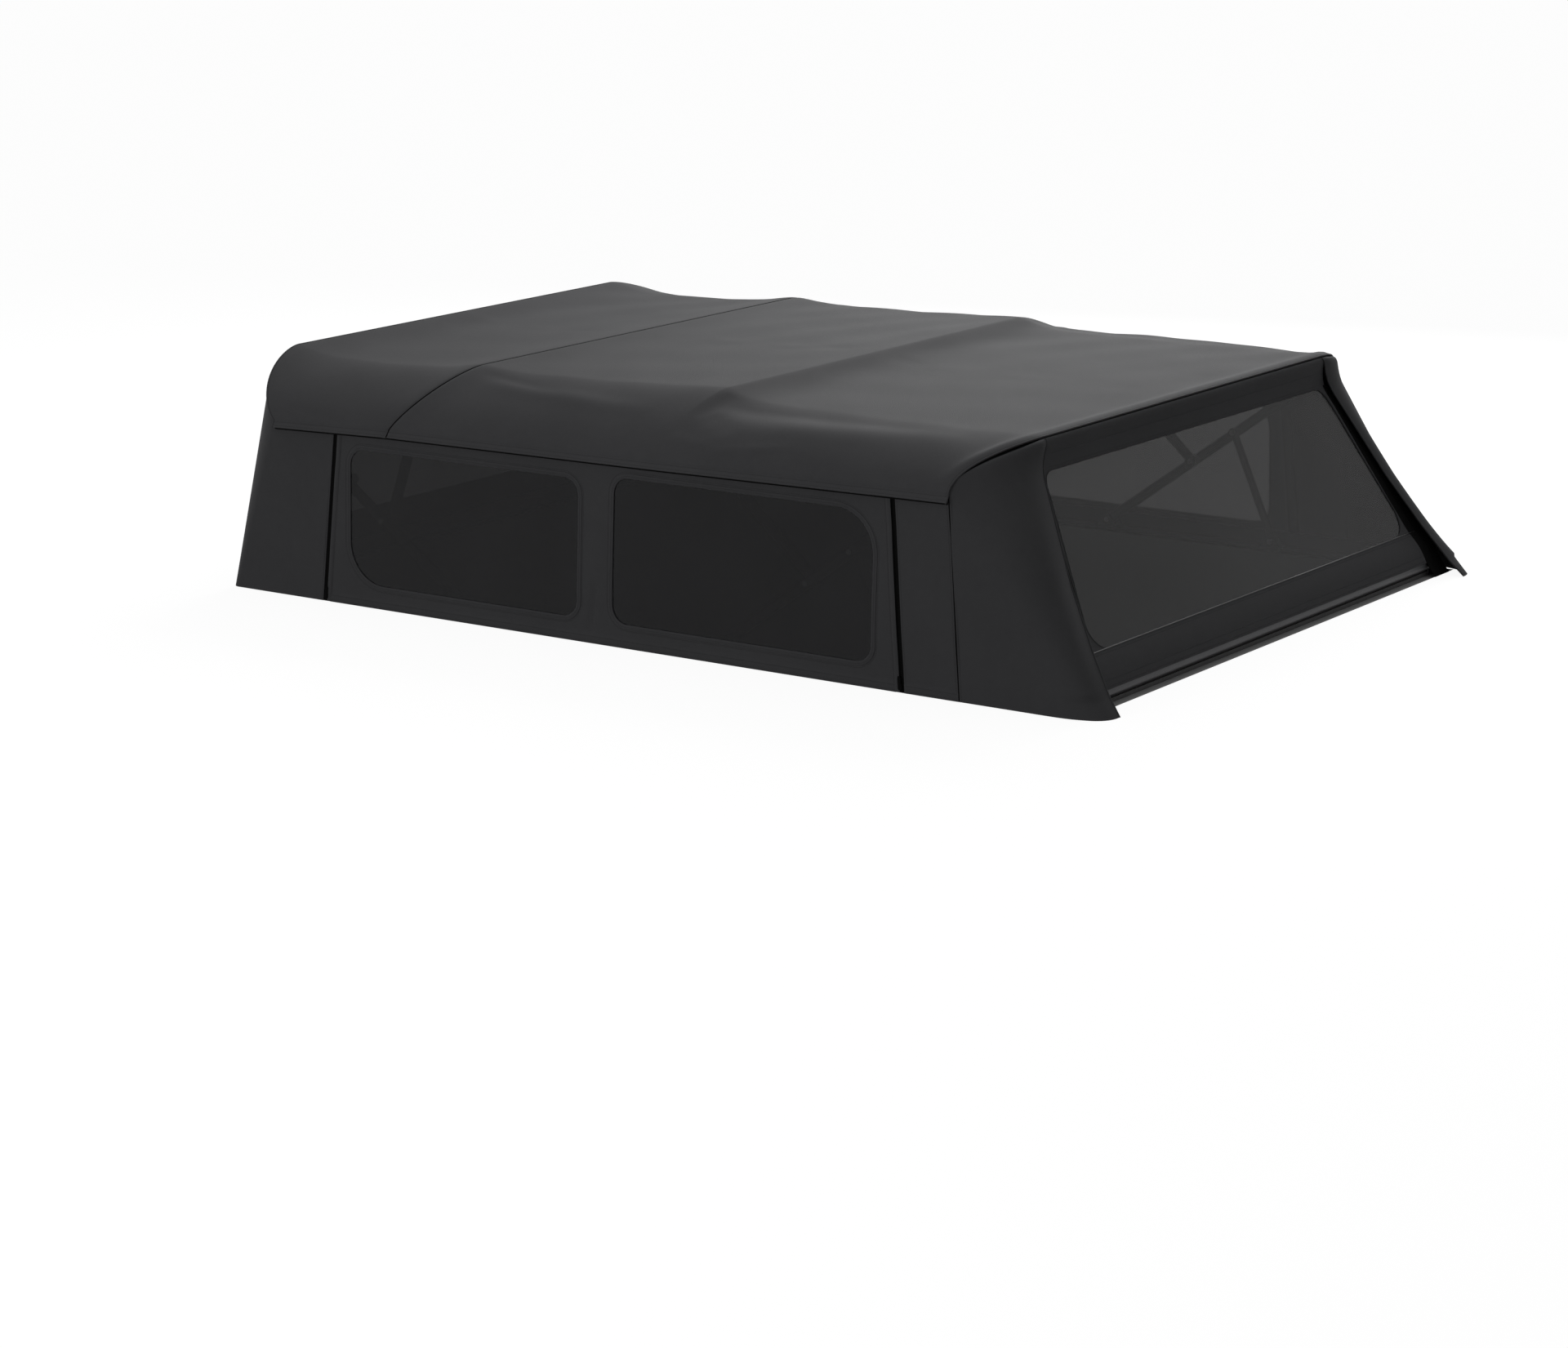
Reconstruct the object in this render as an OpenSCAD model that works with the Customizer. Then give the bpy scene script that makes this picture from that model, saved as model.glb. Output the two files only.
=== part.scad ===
// Soft folding canopy for an 8 ft pickup bed: a fabric deck on four bent tube bows,
// zip-in side curtains with two windows each, a rear curtain with one large window,
// and the belt rails that stand on the top of the bed walls.
// X runs forward, Y to the left, Z up. Z = 0 is the top of the bed walls.

/* [Base] */
// Length over the front crest and the foot of the storm flaps
canopy_length = 2416; // [2300:1:2500]
// Width over the side walls at the bed
canopy_width = 1852; // [1780:1:1900]
// Inward lean of the side walls, for each millimetre of height
wall_lean = 0.031; // [0.01:0.001:0.06]
// Height of the lower edge above the top of the bed walls
hem_lift = 1; // [0.5:0.1:3]

/* [Deck] */
// Height of the deck at the front bow
front_bow_height = 557; // [545:1:570]
// Height of the deck at the second bow
second_bow_height = 562; // [545:1:590]
// Height of the deck at the third bow
third_bow_height = 571; // [550:1:600]
// Height of the deck at the rear bow
rear_bow_height = 545; // [530:1:560]
// Drop of the shoulder at the front bow, from the flat top to the deck's side edge
front_shoulder_drop = 133; // [122:1:142]
// Drop of the shoulder at the second bow
second_shoulder_drop = 128; // [120:1:142]
// Drop of the shoulder at the third bow
third_shoulder_drop = 131; // [120:1:142]
// Drop of the shoulder at the rear bow
rear_shoulder_drop = 95; // [85:1:106]
// Width of the sloping shoulder at the front bow
front_shoulder = 286; // [250:1:320]
// Width of the sloping shoulder at the second bow
second_shoulder = 273; // [250:1:320]
// Width of the sloping shoulder at the third bow
third_shoulder = 291; // [250:1:320]
// Width of the sloping shoulder at the rear bow
rear_shoulder = 271; // [250:1:320]
// Roundness of the shoulders at the two inner bows: 1 is a straight slope, 2 an ellipse
inner_roundness = 1.5; // [1.3:0.05:2]
// Roundness of the shoulders at the front bow
front_roundness = 1.5; // [1.3:0.05:2]
// Roundness of the shoulders at the rear bow
rear_roundness = 1.7; // [1.3:0.05:2]
// How far forward the middle of the rear shoulder keeps, as an exponent
rear_sweep = 2.5; // [1:0.1:4]
// Distance of the second bow behind the front crest
second_bow_setback = 587; // [540:1:640]
// Distance of the third bow behind the second
third_bow_setback = 705; // [650:1:760]
// Distance of the rear bow ahead of the foot of the storm flaps
rear_bow_lead = 274; // [250:1:300]
// How far the deck's side edge lies ahead of the top at the second bow
second_edge_lead = 76; // [40:1:90]
// How far the deck's side edge lies ahead of the top at the third bow
third_edge_lead = 14; // [0:1:30]
// Dip of the deck between the front and second bows
front_bay_dip = 20; // [0:1:30]
// Dip of the deck between the second and third bows
middle_bay_dip = 10; // [0:1:20]
// Dip of the deck between the third and rear bows
rear_bay_dip = 22; // [0:1:30]
// Height of the flap that hangs over the side curtains
flap_height = 13; // [8:1:20]

/* [Fabric] */
// Thickness of the coated twill with its lining and seams
fabric = 2.5; // [1.5:0.1:4]
// Thickness of the window vinyl
pane = 1.5; // [1:0.1:1.5]
// Clearance between a fabric panel and what it lies on
seat_gap = 0.3; // [0.2:0.05:0.5]

/* [Side curtains] */
// Distance of the front zip behind the front crest, at the bed
front_zip_setback = 315; // [305:1:330]
// Distance of the rear zip ahead of the foot of the storm flaps, at the bed
rear_zip_lead = 465; // [450:1:480]
// Lean of both zips towards the middle, from the bed to the deck
zip_slant = 38; // [20:1:45]
// Width of each zip
zip_width = 22; // [14:1:26]
// Distance of the rear quarter seam ahead of the foot of the storm flaps, at the bed
quarter_seam_lead = 314; // [300:1:325]
// Margin of twill between each zip and the window beside it
window_margin = 73; // [65:1:85]
// Middle of the twill between the two side windows
window_post_x = 89; // [60:1:120]
// Width of the twill between the two side windows
window_post_width = 92; // [70:1:110]
// Lower edge of the side windows
side_window_low = 52; // [48:1:60]
// Margin of twill above the front side window, below the deck's edge
front_side_window_head = 47; // [40:1:60]
// Margin of twill above the rear side window, below the deck's edge
rear_side_window_head = 41; // [37:1:55]
// Corner radius of the side windows
side_window_radius = 45; // [30:1:50]
// Radius of the two larger outer corners of the side windows
side_window_big_radius = 105; // [80:1:120]

/* [Front and rear] */
// Distance of the front hem behind the front crest
front_hem_setback = 11; // [8:1:20]
// Distance of the deck's front side corner behind the front crest
front_corner_setback = 156; // [140:1:170]
// Distance of the deck's rear side corner ahead of the rear bow
rear_corner_lead = 80; // [60:1:100]
// Distance of the rear curtain's seam inside the side walls, at the bed
rear_seam_inset = 76; // [66:1:90]
// Height of the upright header at the top of the rear curtain
header_height = 73; // [60:1:85]
// Height of the lower end of the rear curtain, on the tailgate bar
rear_curtain_end = 36; // [35:0.5:37]
// Height of the lower edge of the rear window
rear_window_low = 112; // [100:1:125]
// Margin of twill between the rear window and the header
rear_window_head = 6; // [4:1:15]
// Margin of twill between the rear curtain's seam and the window, at the window's lower edge
rear_margin_low = 43; // [36:1:60]
// Margin of twill between the rear curtain's seam and the window, at the window's upper edge
rear_margin_top = 28; // [20:1:60]
// Distance that the edge of each rear corner stands off behind the curtain, as a storm flap over its zip
flap_stand = 14; // [10:1:18]
// Width of the rear zips under the storm flaps
rear_zip_width = 30; // [24:1:34]
// Corner radius of the rear window
rear_window_radius = 45; // [30:1:60]
// Margin of twill between the front shoulders and the front window
front_window_margin = 80; // [60:1:140]
// Lower edge of the front window
front_panel_window_low = 110; // [90:1:130]
// Margin of twill between the front bow and the front window
front_window_head = 127; // [110:1:150]

/* [Frame] */
// Radius of the bow tubes
bow_radius = 12.7; // [11:0.1:14]
// Radius of the prop tubes
prop_radius = 9.5; // [8:0.1:11]
// Bending radius of the bow tubes
bend_radius = 110; // [90:1:130]
// Distance of the main arms inside the side walls
arm_inset = 38; // [37:1:42]
// Height of the main pivots
pivot_height = 24; // [22:1:28]
// Distance of the rear main pivots ahead of the rear bow
rear_pivot_lead = 711; // [690:1:730]
// Distance of the front main pivots behind the front crest
front_pivot_setback = 722; // [700:1:740]
// Distance along a main arm to the pivot of the inner bow
inner_bow_reach = 312; // [290:1:330]
// Distance along a main arm to the pivot of the prop
prop_reach = 456; // [440:1:480]
// Distance from the foot of a prop to the main pivot
prop_spread = 486; // [470:1:500]
// Radius of the pivot pins
pin_radius = 4; // [3:0.1:5]
// Running clearance of the pins
pin_clearance = 0.05; // [0.02:0.01:0.09]

/* [Rails] */
// Width of the belt rails
rail_width = 80; // [76:1:84]
// Thickness of the belt rails
rail_thick = 4; // [3:0.5:5]
// Height of the belt rails
rail_height = 40; // [34:1:42]
// Radius of the bolt holes for the rail clamps
clamp_hole_radius = 4.25; // [3:0.05:5]
// Spacing of the bolt holes for the rail clamps
clamp_hole_spacing = 560; // [540:1:580]
// Radius of the tailgate bar
bar_radius = 16; // [14:0.5:18]
// Height of the seal under the tailgate bar
seal_height = 10; // [8:0.5:11]

/* [Hidden] */

twill = [0.17, 0.17, 0.18];
vinyl = [0.08, 0.08, 0.09, 0.75];
black_steel = [0.1, 0.1, 0.11];
black_aluminium = [0.14, 0.14, 0.15];
bright_steel = [0.6, 0.6, 0.62];
zip_black = [0.03, 0.03, 0.03];
seal_black = [0.06, 0.06, 0.06];

half_length = canopy_length / 2;
half_width = canopy_width / 2;
front_hem_x = half_length - front_hem_setback;
tail_x = -half_length;
rear_hem_x = tail_x + flap_stand;
second_bow_x = half_length - second_bow_setback;
third_bow_x = second_bow_x - third_bow_setback;
rear_bow_x = tail_x + rear_bow_lead;
front_corner_x = half_length - front_corner_setback;
second_edge_x = second_bow_x + second_edge_lead;
third_edge_x = third_bow_x + third_edge_lead;
rear_corner_x = rear_bow_x + rear_corner_lead;
front_zip_x = half_length - front_zip_setback;
rear_zip_x = tail_x + rear_zip_lead;
quarter_seam_x = tail_x + quarter_seam_lead;
front_flat = half_width - front_shoulder;
rear_flat = half_width - rear_shoulder;
rear_curtain_low = half_width - rear_seam_inset;
arm_y = half_width - arm_inset;
wall_angle = atan(wall_lean);
header_low = rear_bow_height - header_height;
rear_angle = atan2(rear_bow_x - rear_hem_x, header_low);
front_angle = atan2(front_hem_setback, front_bow_height);
bay_steps = 6;
shoulder_steps = 8;
bend_steps = 5;
tube_sides = 16;
inner_y = arm_y - bow_radius - prop_radius - 1;
inner_bow_y = arm_y - 2 * bow_radius - 1;

front_edge_height = front_bow_height - front_shoulder_drop;
second_edge_height = second_bow_height - second_shoulder_drop;
third_edge_height = third_bow_height - third_shoulder_drop;
rear_edge_height = rear_bow_height - rear_shoulder_drop;

// Each bow: top x, edge x, half flat width, top height, edge height, roundness of the shoulders
BOWS = [
    [half_length, front_corner_x, front_flat, front_bow_height, front_edge_height, front_roundness, 1],
    [second_bow_x, second_edge_x, half_width - second_shoulder, second_bow_height, second_edge_height,
        inner_roundness, 1],
    [third_bow_x, third_edge_x, half_width - third_shoulder, third_bow_height, third_edge_height,
        inner_roundness, 1],
    [rear_bow_x, rear_corner_x, rear_flat, rear_bow_height, rear_edge_height, rear_roundness,
        rear_sweep]];
BAY_DIPS = [front_bay_dip, middle_bay_dip, rear_bay_dip];

function wall_y(z) = half_width - wall_lean * z;
function blend(a, b, t) = a + (b - a) * t;
function clamp01(t) = min(1, max(0, t));
function unit(v) = v / norm(v);
function reversed(list) = [for (i = [len(list) - 1 : -1 : 0]) list[i]];
function flipped(list) = [for (p = list) [p[0], -p[1], p[2]]];

// Row of bow values, somewhere in a bay, with the fabric's dip
function bay_row(bay, t) =
    blend(BOWS[bay], BOWS[bay + 1], t) - [0, 0, 0, 4 * BAY_DIPS[bay] * t * (1 - t), 0, 0, 0];

// Outer edge of the deck's shoulder
function shoulder_edge(row) = wall_y(row[4]) + seat_gap + fabric;

// Point of the deck's shoulder, at a turn of 0 at the flat top to 90 at the lower edge,
// sunk below the surface by a depth. The shoulder is a quarter of a superellipse.
function shoulder(row, turn, depth) =
    let (width = shoulder_edge(row) - row[2], height = row[3] - row[4], k = row[5],
        out = pow(sin(turn), 2 / k), up = pow(cos(turn), 2 / k),
        normal = unit([0, pow(out, k - 1) / width, pow(up, k - 1) / height]))
    [blend(row[1], row[0], pow(up, row[6])), row[2] + width * out, row[4] + height * up] - depth * normal;

// Half of a deck section, from the flap up to the middle, inset by a distance
function deck_half(row, inset) =
    concat([[row[1], wall_y(row[4] - flap_height) + seat_gap + fabric - inset, row[4] - flap_height]],
        [for (i = [shoulder_steps : -1 : 0]) shoulder(row, 90 * i / shoulder_steps, inset)],
        [for (i = [1 : 2]) [row[0], row[2] * (1 - i / 3), row[3] - inset]]);

function deck_section(row, inset) =
    let (half = deck_half(row, inset))
    concat(half, [[row[0], 0, row[3] - inset]], flipped(reversed(half)));

// Closed shell between two grids of points with the same rows and columns
module sheet(outer, inner) {
    rows = len(outer);
    cols = len(outer[0]);
    back = rows * cols;
    function at(i, j) = i * cols + j;
    points = concat([for (row = outer) each row], [for (row = inner) each row]);
    skin = [for (i = [0 : rows - 2], j = [0 : cols - 2])
        each [[at(i, j), at(i + 1, j + 1), at(i + 1, j)], [at(i, j), at(i, j + 1), at(i + 1, j + 1)]]];
    lining = [for (f = skin) [f[0] + back, f[2] + back, f[1] + back]];
    rim = concat(
        [for (j = [0 : cols - 2]) [at(0, j), at(0, j + 1)]],
        [for (i = [0 : rows - 2]) [at(i, cols - 1), at(i + 1, cols - 1)]],
        [for (j = [cols - 1 : -1 : 1]) [at(rows - 1, j), at(rows - 1, j - 1)]],
        [for (i = [rows - 1 : -1 : 1]) [at(i, 0), at(i - 1, 0)]]);
    edges = [for (e = rim) each [[e[1], e[0], e[1] + back], [e[0], e[0] + back, e[1] + back]]];
    polyhedron(points, concat(skin, lining, edges));
}

module deck_bays(first, last) {
    rows = [for (bay = [first : last], i = [0 : bay_steps])
        if (i < bay_steps || bay == last) bay_row(bay, i / bay_steps)];
    sheet([for (row = rows) deck_section(row, 0)], [for (row = rows) deck_section(row, fabric)]);
}

module deck_front() { color(twill) deck_bays(0, 0); }
module deck_rear() { color(twill) deck_bays(1, 2); }

// Normal of a grid of points at one of them
function grid_normal(g, i, j) =
    let (i0 = max(i - 1, 0), i1 = min(i + 1, len(g) - 1), j0 = max(j - 1, 0), j1 = min(j + 1, len(g[0]) - 1))
    unit(cross(g[i1][j] - g[i0][j], g[i][j1] - g[i][j0]));
function inset_grid(g, d) =
    [for (i = [0 : len(g) - 1]) [for (j = [0 : len(g[0]) - 1]) g[i][j] - d * grid_normal(g, i, j)]];

// Ruled grid between a lower and an upper row of points
function ruled(low, high, rows) =
    [for (i = [0 : rows]) [for (j = [0 : len(low) - 1]) blend(low[j], high[j], i / rows)]];

// Left half of a piece, or its mirror image on the right
module side(left) {
    if (left) children();
    else mirror([0, 1, 0]) children();
}

// Plane of the left side wall: local X forward, local Y up the wall, thickness inward
module on_wall(depth = 0) {
    translate([0, half_width, 0]) rotate([90 + wall_angle, 0, 0]) translate([0, 0, depth]) children();
}

// Height of the deck's lower side edge along the canopy
function edge_height(x) = x > second_edge_x
    ? blend(second_edge_height, front_edge_height, (x - second_edge_x) / (front_corner_x - second_edge_x))
    : x > third_edge_x
        ? blend(third_edge_height, second_edge_height, (x - third_edge_x) / (second_edge_x - third_edge_x))
        : blend(rear_edge_height, third_edge_height, (x - rear_corner_x) / (third_edge_x - rear_corner_x));
function wall_top(x) = edge_height(x) - fabric - seat_gap;

// Rectangle with four corner radii, from the lower left corner anticlockwise
module window_shape(x0, x1, y0, y1, r, inset = 0) {
    corners = [[x0 + inset, y0 + inset], [x1 - inset, y0 + inset], [x1 - inset, y1 - inset], [x0 + inset, y1 - inset]];
    turns = [180, 270, 0, 90];
    signs = [[1, 1], [-1, 1], [-1, -1], [1, -1]];
    polygon([for (k = [0 : 3], i = [0 : 8])
        let (q = r[k] - inset, a = turns[k] + i * 90 / 8)
        corners[k] + q * signs[k] + q * [cos(a), sin(a)]]);
}

module front_side_window(inset = 0) {
    front = front_zip_x - window_margin;
    window_shape(window_post_x + window_post_width / 2, front,
        side_window_low, edge_height(front) - front_side_window_head,
        [side_window_radius, side_window_big_radius, side_window_radius, side_window_radius], inset);
}

module rear_side_window(inset = 0) {
    front = window_post_x - window_post_width / 2;
    window_shape(rear_zip_x + window_margin, front,
        side_window_low, edge_height(front) - rear_side_window_head,
        [side_window_radius, side_window_radius, side_window_radius, side_window_big_radius], inset);
}

// Lower and upper x of a slanted upright line of the side wall
function slanted(x, shift) = [x, x - sign(x) * shift];

module wall_panel(front, rear) {
    mid = [for (x = [second_edge_x, third_edge_x]) if (x < front[1] && x > rear[1]) [x, wall_top(x)]];
    linear_extrude(fabric) polygon(concat([[rear[0], hem_lift], [front[0], hem_lift],
        [front[1], wall_top(front[1])]], mid, [[rear[1], wall_top(rear[1])]]));
}

module side_curtain(left) {
    half_zip = zip_width / 2;
    front = slanted(front_zip_x, zip_slant) - [half_zip, half_zip];
    rear = slanted(rear_zip_x, zip_slant) + [half_zip, half_zip];
    color(twill) side(left) on_wall() difference() {
        wall_panel(front, rear);
        translate([0, 0, -1]) linear_extrude(fabric + 2) {
            front_side_window();
            rear_side_window();
        }
    }
}

module side_pane(left) {
    color(vinyl) side(left) on_wall((fabric - pane) / 2) linear_extrude(pane) children();
}

module side_window_front(left) { side_pane(left) front_side_window(); }
module side_window_rear(left) { side_pane(left) rear_side_window(); }

module zip_strip(x) {
    half_zip = zip_width / 2;
    line = slanted(x, zip_slant);
    translate([0, 0, 0.5]) linear_extrude(fabric - 0.5)
        polygon([[line[0] - half_zip, hem_lift], [line[0] + half_zip, hem_lift],
            [line[1] + half_zip, wall_top(line[1] + half_zip)], [line[1] - half_zip, wall_top(line[1] - half_zip)]]);
}

module side_zips(left) {
    color(zip_black) side(left) on_wall() {
        zip_strip(front_zip_x);
        zip_strip(rear_zip_x);
    }
}

module rear_quarter(left) {
    half_zip = zip_width / 2;
    color(twill) side(left) on_wall()
        wall_panel(slanted(rear_zip_x, zip_slant) - [half_zip, half_zip], [quarter_seam_x, rear_corner_x]);
}

// Corner panels: ruled from a rounded line at the bed up to the deck's end slope
corner_steps = 8;
corner_rows = 6;
rear_corner_round = 216;
front_corner_round = 24;
corner_lift = fabric + 2 * seat_gap;

// Face of the rear curtain: one slope from the hem up to an upright header below the rear bow
function rear_face(z) = z < header_low ? blend(rear_hem_x, rear_bow_x, z / header_low) : rear_bow_x;

// Distance from the middle to the seam between the rear curtain and the corner
function seam_y(z) = blend(rear_curtain_low, rear_flat, z / rear_bow_height);

// Edge of the storm flap, which stands off the curtain and runs in to the deck's end above the header
function flap_x(z) = rear_face(z)
    - flap_stand * clamp01((rear_bow_height - corner_lift - z) / (header_height - corner_lift));

// The rear corner stands upright on the rail, then leans in to the end slope of the deck
module rear_corner(left) {
    squareness = 0.8;
    side_share = 0.06;
    foot_height = 46;
    clearance = 3 * seat_gap;
    lean = (rear_corner_x - quarter_seam_x) / rear_edge_height;
    function row(z) =
        let (front_x = quarter_seam_x + lean * z - clearance, turn_x = quarter_seam_x - rear_corner_round,
            side_y = wall_y(z))
        concat([for (i = [0 : 2]) [blend(front_x, turn_x, i / 3), side_y, z]],
            [for (i = [0 : corner_steps])
                let (a = 90 * i / corner_steps)
                [blend(turn_x, flap_x(z), pow(sin(a), squareness)),
                    blend(seam_y(z), side_y, pow(cos(a), squareness)), z]]);
    low = row(foot_height);
    shares = [for (j = [0 : len(low) - 1]) j < 3 ? side_share * j : blend(3 * side_share, 1, (j - 3) / corner_steps)];
    high = [for (j = [0 : len(low) - 1])
        shoulder(BOWS[3], 90 * (1 - shares[j]), corner_lift) - (j == 0 ? [clearance, 0, 0] : [0, 0, 0])];
    fold = (header_low - foot_height) / (rear_bow_height - corner_lift - foot_height);
    // A row between the foot and the deck, drawn out to the storm flap's edge
    function leaned(t) = [for (j = [0 : len(low) - 1])
        let (p = blend(low[j], high[j], t), pull = pow(max(shares[j] - 3 * side_share, 0) / (1 - 3 * side_share), 2))
        p + [pull * (flap_x(p[2]) - p[0]), 0, 0]];
    rows = concat([row(hem_lift)], [for (i = [0 : corner_rows - 1]) leaned(fold * i / (corner_rows - 1))], [leaned(1)]);
    outer = [for (r = rows) reversed(r)];
    color(twill) side(left) sheet(outer, inset_grid(outer, fabric));
}

module front_corner(left) {
    half_zip = zip_width / 2;
    zip = slanted(front_zip_x, zip_slant) + [half_zip, half_zip];
    nose = front_corner_round;
    low_side = [for (i = [0 : 3]) [blend(zip[0], front_hem_x - nose, i / 4), wall_y(hem_lift), hem_lift]];
    low_arc = [for (i = [0 : corner_steps])
        let (a = 90 * i / corner_steps)
        [front_hem_x - nose + nose * sin(a), wall_y(hem_lift) - nose + nose * cos(a), hem_lift]];
    high_side = [for (i = [0 : 3])
        let (x = blend(zip[1], front_corner_x, i / 4)) [x, wall_y(wall_top(x)), wall_top(x)]];
    high_arc = [for (i = [0 : corner_steps]) shoulder(BOWS[0], 90 * (1 - i / corner_steps), corner_lift)];
    outer = ruled(concat(low_side, low_arc), concat(high_side, high_arc), corner_rows);
    color(twill) side(left) sheet(outer, inset_grid(outer, fabric));
}

// Plane of the front panel: local X to the right, local Y up, thickness rearward
module on_front(depth = 0) {
    translate([front_hem_x, 0, 0]) rotate([90, 0, -90]) rotate([-front_angle, 0, 0])
        translate([0, 0, depth]) children();
}

module front_window_outline(inset = 0) {
    r = rear_window_radius;
    half = front_flat - front_window_margin;
    window_shape(-half, half, front_panel_window_low, front_bow_height - front_window_head, [r, r, r, r], inset);
}

module front_panel() {
    low = half_width - front_corner_round - 1.5;
    high = front_flat - 3;
    top = (front_bow_height - corner_lift) / cos(front_angle);
    color(twill) on_front() difference() {
        linear_extrude(fabric) polygon([[-low, hem_lift], [low, hem_lift], [high, top], [-high, top]]);
        translate([0, 0, -1]) linear_extrude(fabric + 2) front_window_outline();
    }
}

module front_window() {
    color(vinyl) on_front((fabric - pane) / 2) linear_extrude(pane) front_window_outline();
}

// Layer of the rear curtain between two depths, across the whole canopy
module rear_layer(from, to, low) {
    top = rear_bow_height - corner_lift;
    function line(depth) = [[rear_face(low) + depth / cos(rear_angle), low],
        [rear_bow_x + depth, header_low - depth * tan(rear_angle / 2)], [rear_bow_x + depth, top]];
    translate([0, half_width, 0]) rotate([90, 0, 0]) linear_extrude(canopy_width)
        polygon(concat(line(from), reversed(line(to))));
}

// Shape of a piece of the rear curtain as seen from the tail: local X to the left, local Y up
module rear_view() {
    translate([rear_hem_x - 20, 0, 0]) rotate([90, 0, 90]) linear_extrude(rear_bow_lead + 40) children();
}

module rear_window_outline() {
    top = header_low - rear_window_head;
    r = rear_window_radius;
    low_half = seam_y(rear_window_low + r) - rear_margin_low;
    top_half = seam_y(top - r) - rear_margin_top;
    hull() for (s = [-1, 1]) {
        translate([s * (low_half - r), rear_window_low + r]) circle(r, $fn = 48);
        translate([s * (top_half - r), top - r]) circle(r, $fn = 48);
    }
}

// The curtain reaches under the edge of the storm flap, where the zip takes over
curtain_tuck = 4;

module rear_curtain() {
    function edge(z) = seam_y(z) - curtain_tuck;
    color(twill) intersection() {
        rear_layer(0, fabric, rear_curtain_end);
        rear_view() difference() {
            polygon([[-edge(0), 0], [edge(0), 0], [edge(rear_bow_height), rear_bow_height],
                [-edge(rear_bow_height), rear_bow_height]]);
            rear_window_outline();
        }
    }
}

module rear_window() {
    color(vinyl) intersection() {
        rear_layer((fabric - pane) / 2, (fabric + pane) / 2, rear_curtain_end);
        rear_view() rear_window_outline();
    }
}

module rear_zips() {
    inner = curtain_tuck - seat_gap;
    outer = inner - rear_zip_width;
    top = header_low;
    color(zip_black) intersection() {
        rear_layer(0.5, fabric, hem_lift);
        rear_view() for (s = [-1, 1])
            polygon([[s * (seam_y(0) - inner), 0], [s * (seam_y(0) - outer), 0],
                [s * (seam_y(top) - outer), top], [s * (seam_y(top) - inner), top]]);
    }
}

// Rails on the top of the bed walls
rail_outer_y = wall_y(rail_height) - fabric - seat_gap;
rail_inner_y = rail_outer_y - rail_width;
rail_front_gap = 23;
rail_rear_setback = 108;
rail_front_x = front_hem_x - front_corner_round - rail_front_gap;
rail_rear_x = tail_x + rail_rear_setback;
rail_lip = 12;
rail_web = 4;
rail_mouth = 8;
clamp_hole_y = rail_inner_y + 14;

// Profile of a rail: flange, upright and a lip with the groove for the curtain's bead
function rail_profile(width) = let (t = rail_thick)
    [[0, 0], [width, 0], [width, t], [width - rail_mouth, t], [width - rail_mouth, rail_height - t],
        [width, rail_height - t], [width, rail_height], [width - rail_lip, rail_height],
        [width - rail_lip, t], [rail_web, t], [rail_web, 2 * t], [0, 2 * t]];

module belt_rail(left) {
    color(black_aluminium) side(left) difference() {
        translate([rail_rear_x, rail_inner_y, 0]) rotate([90, 0, 90])
            linear_extrude(rail_front_x - rail_rear_x) polygon(rail_profile(rail_width));
        for (k = [-1.5 : 1.5]) translate([k * clamp_hole_spacing, clamp_hole_y, -1])
            cylinder(h = rail_thick + 2, r = clamp_hole_radius, $fn = 32);
    }
}

module front_rail() {
    half = rail_inner_y + 38;
    face_x = front_hem_x - fabric - seat_gap;
    color(black_aluminium) translate([rail_front_x + seat_gap, half, 0]) rotate([90, 0, 0])
        linear_extrude(2 * half) polygon(rail_profile(face_x - rail_front_x - seat_gap));
}

// Tailgate bar, its seal and the brackets that hold its ends
bar_z = seal_height + bar_radius;
bar_x = rear_hem_x + bar_z * tan(rear_angle) + (fabric + seat_gap + bar_radius) / cos(rear_angle);
bar_half = rear_curtain_low - 38;
bracket_plate = 4;

module tailgate_bar() {
    color(black_aluminium) translate([bar_x, 0, bar_z]) rotate([90, 0, 0])
        cylinder(h = 2 * bar_half, r = bar_radius, center = true, $fn = 48);
}

module tailgate_seal() {
    seal_width = 16;
    color(seal_black) translate([bar_x - seal_width / 2, -bar_half, 0]) cube([seal_width, 2 * bar_half, seal_height]);
}

module bar_bracket(left) {
    y0 = bar_half + seat_gap;
    y1 = y0 + bracket_plate;
    x1 = rail_rear_x - seat_gap;
    color(black_steel) side(left) {
        translate([0, y1, 0]) rotate([90, 0, 0]) linear_extrude(bracket_plate)
            polygon([[bar_x - 8, 0], [x1, 0], [x1, rail_height / 2], [bar_x + bar_radius, bar_z + bar_radius],
                [bar_x - 4, bar_z + bar_radius - 6], [bar_x - 8, bar_z]]);
        linear_extrude(rail_thick)
            polygon([[bar_x + 8, y1 - 1], [x1, y1 - 1], [x1, rail_inner_y + 40], [bar_x + 40, rail_inner_y + 10]]);
    }
}

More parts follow.
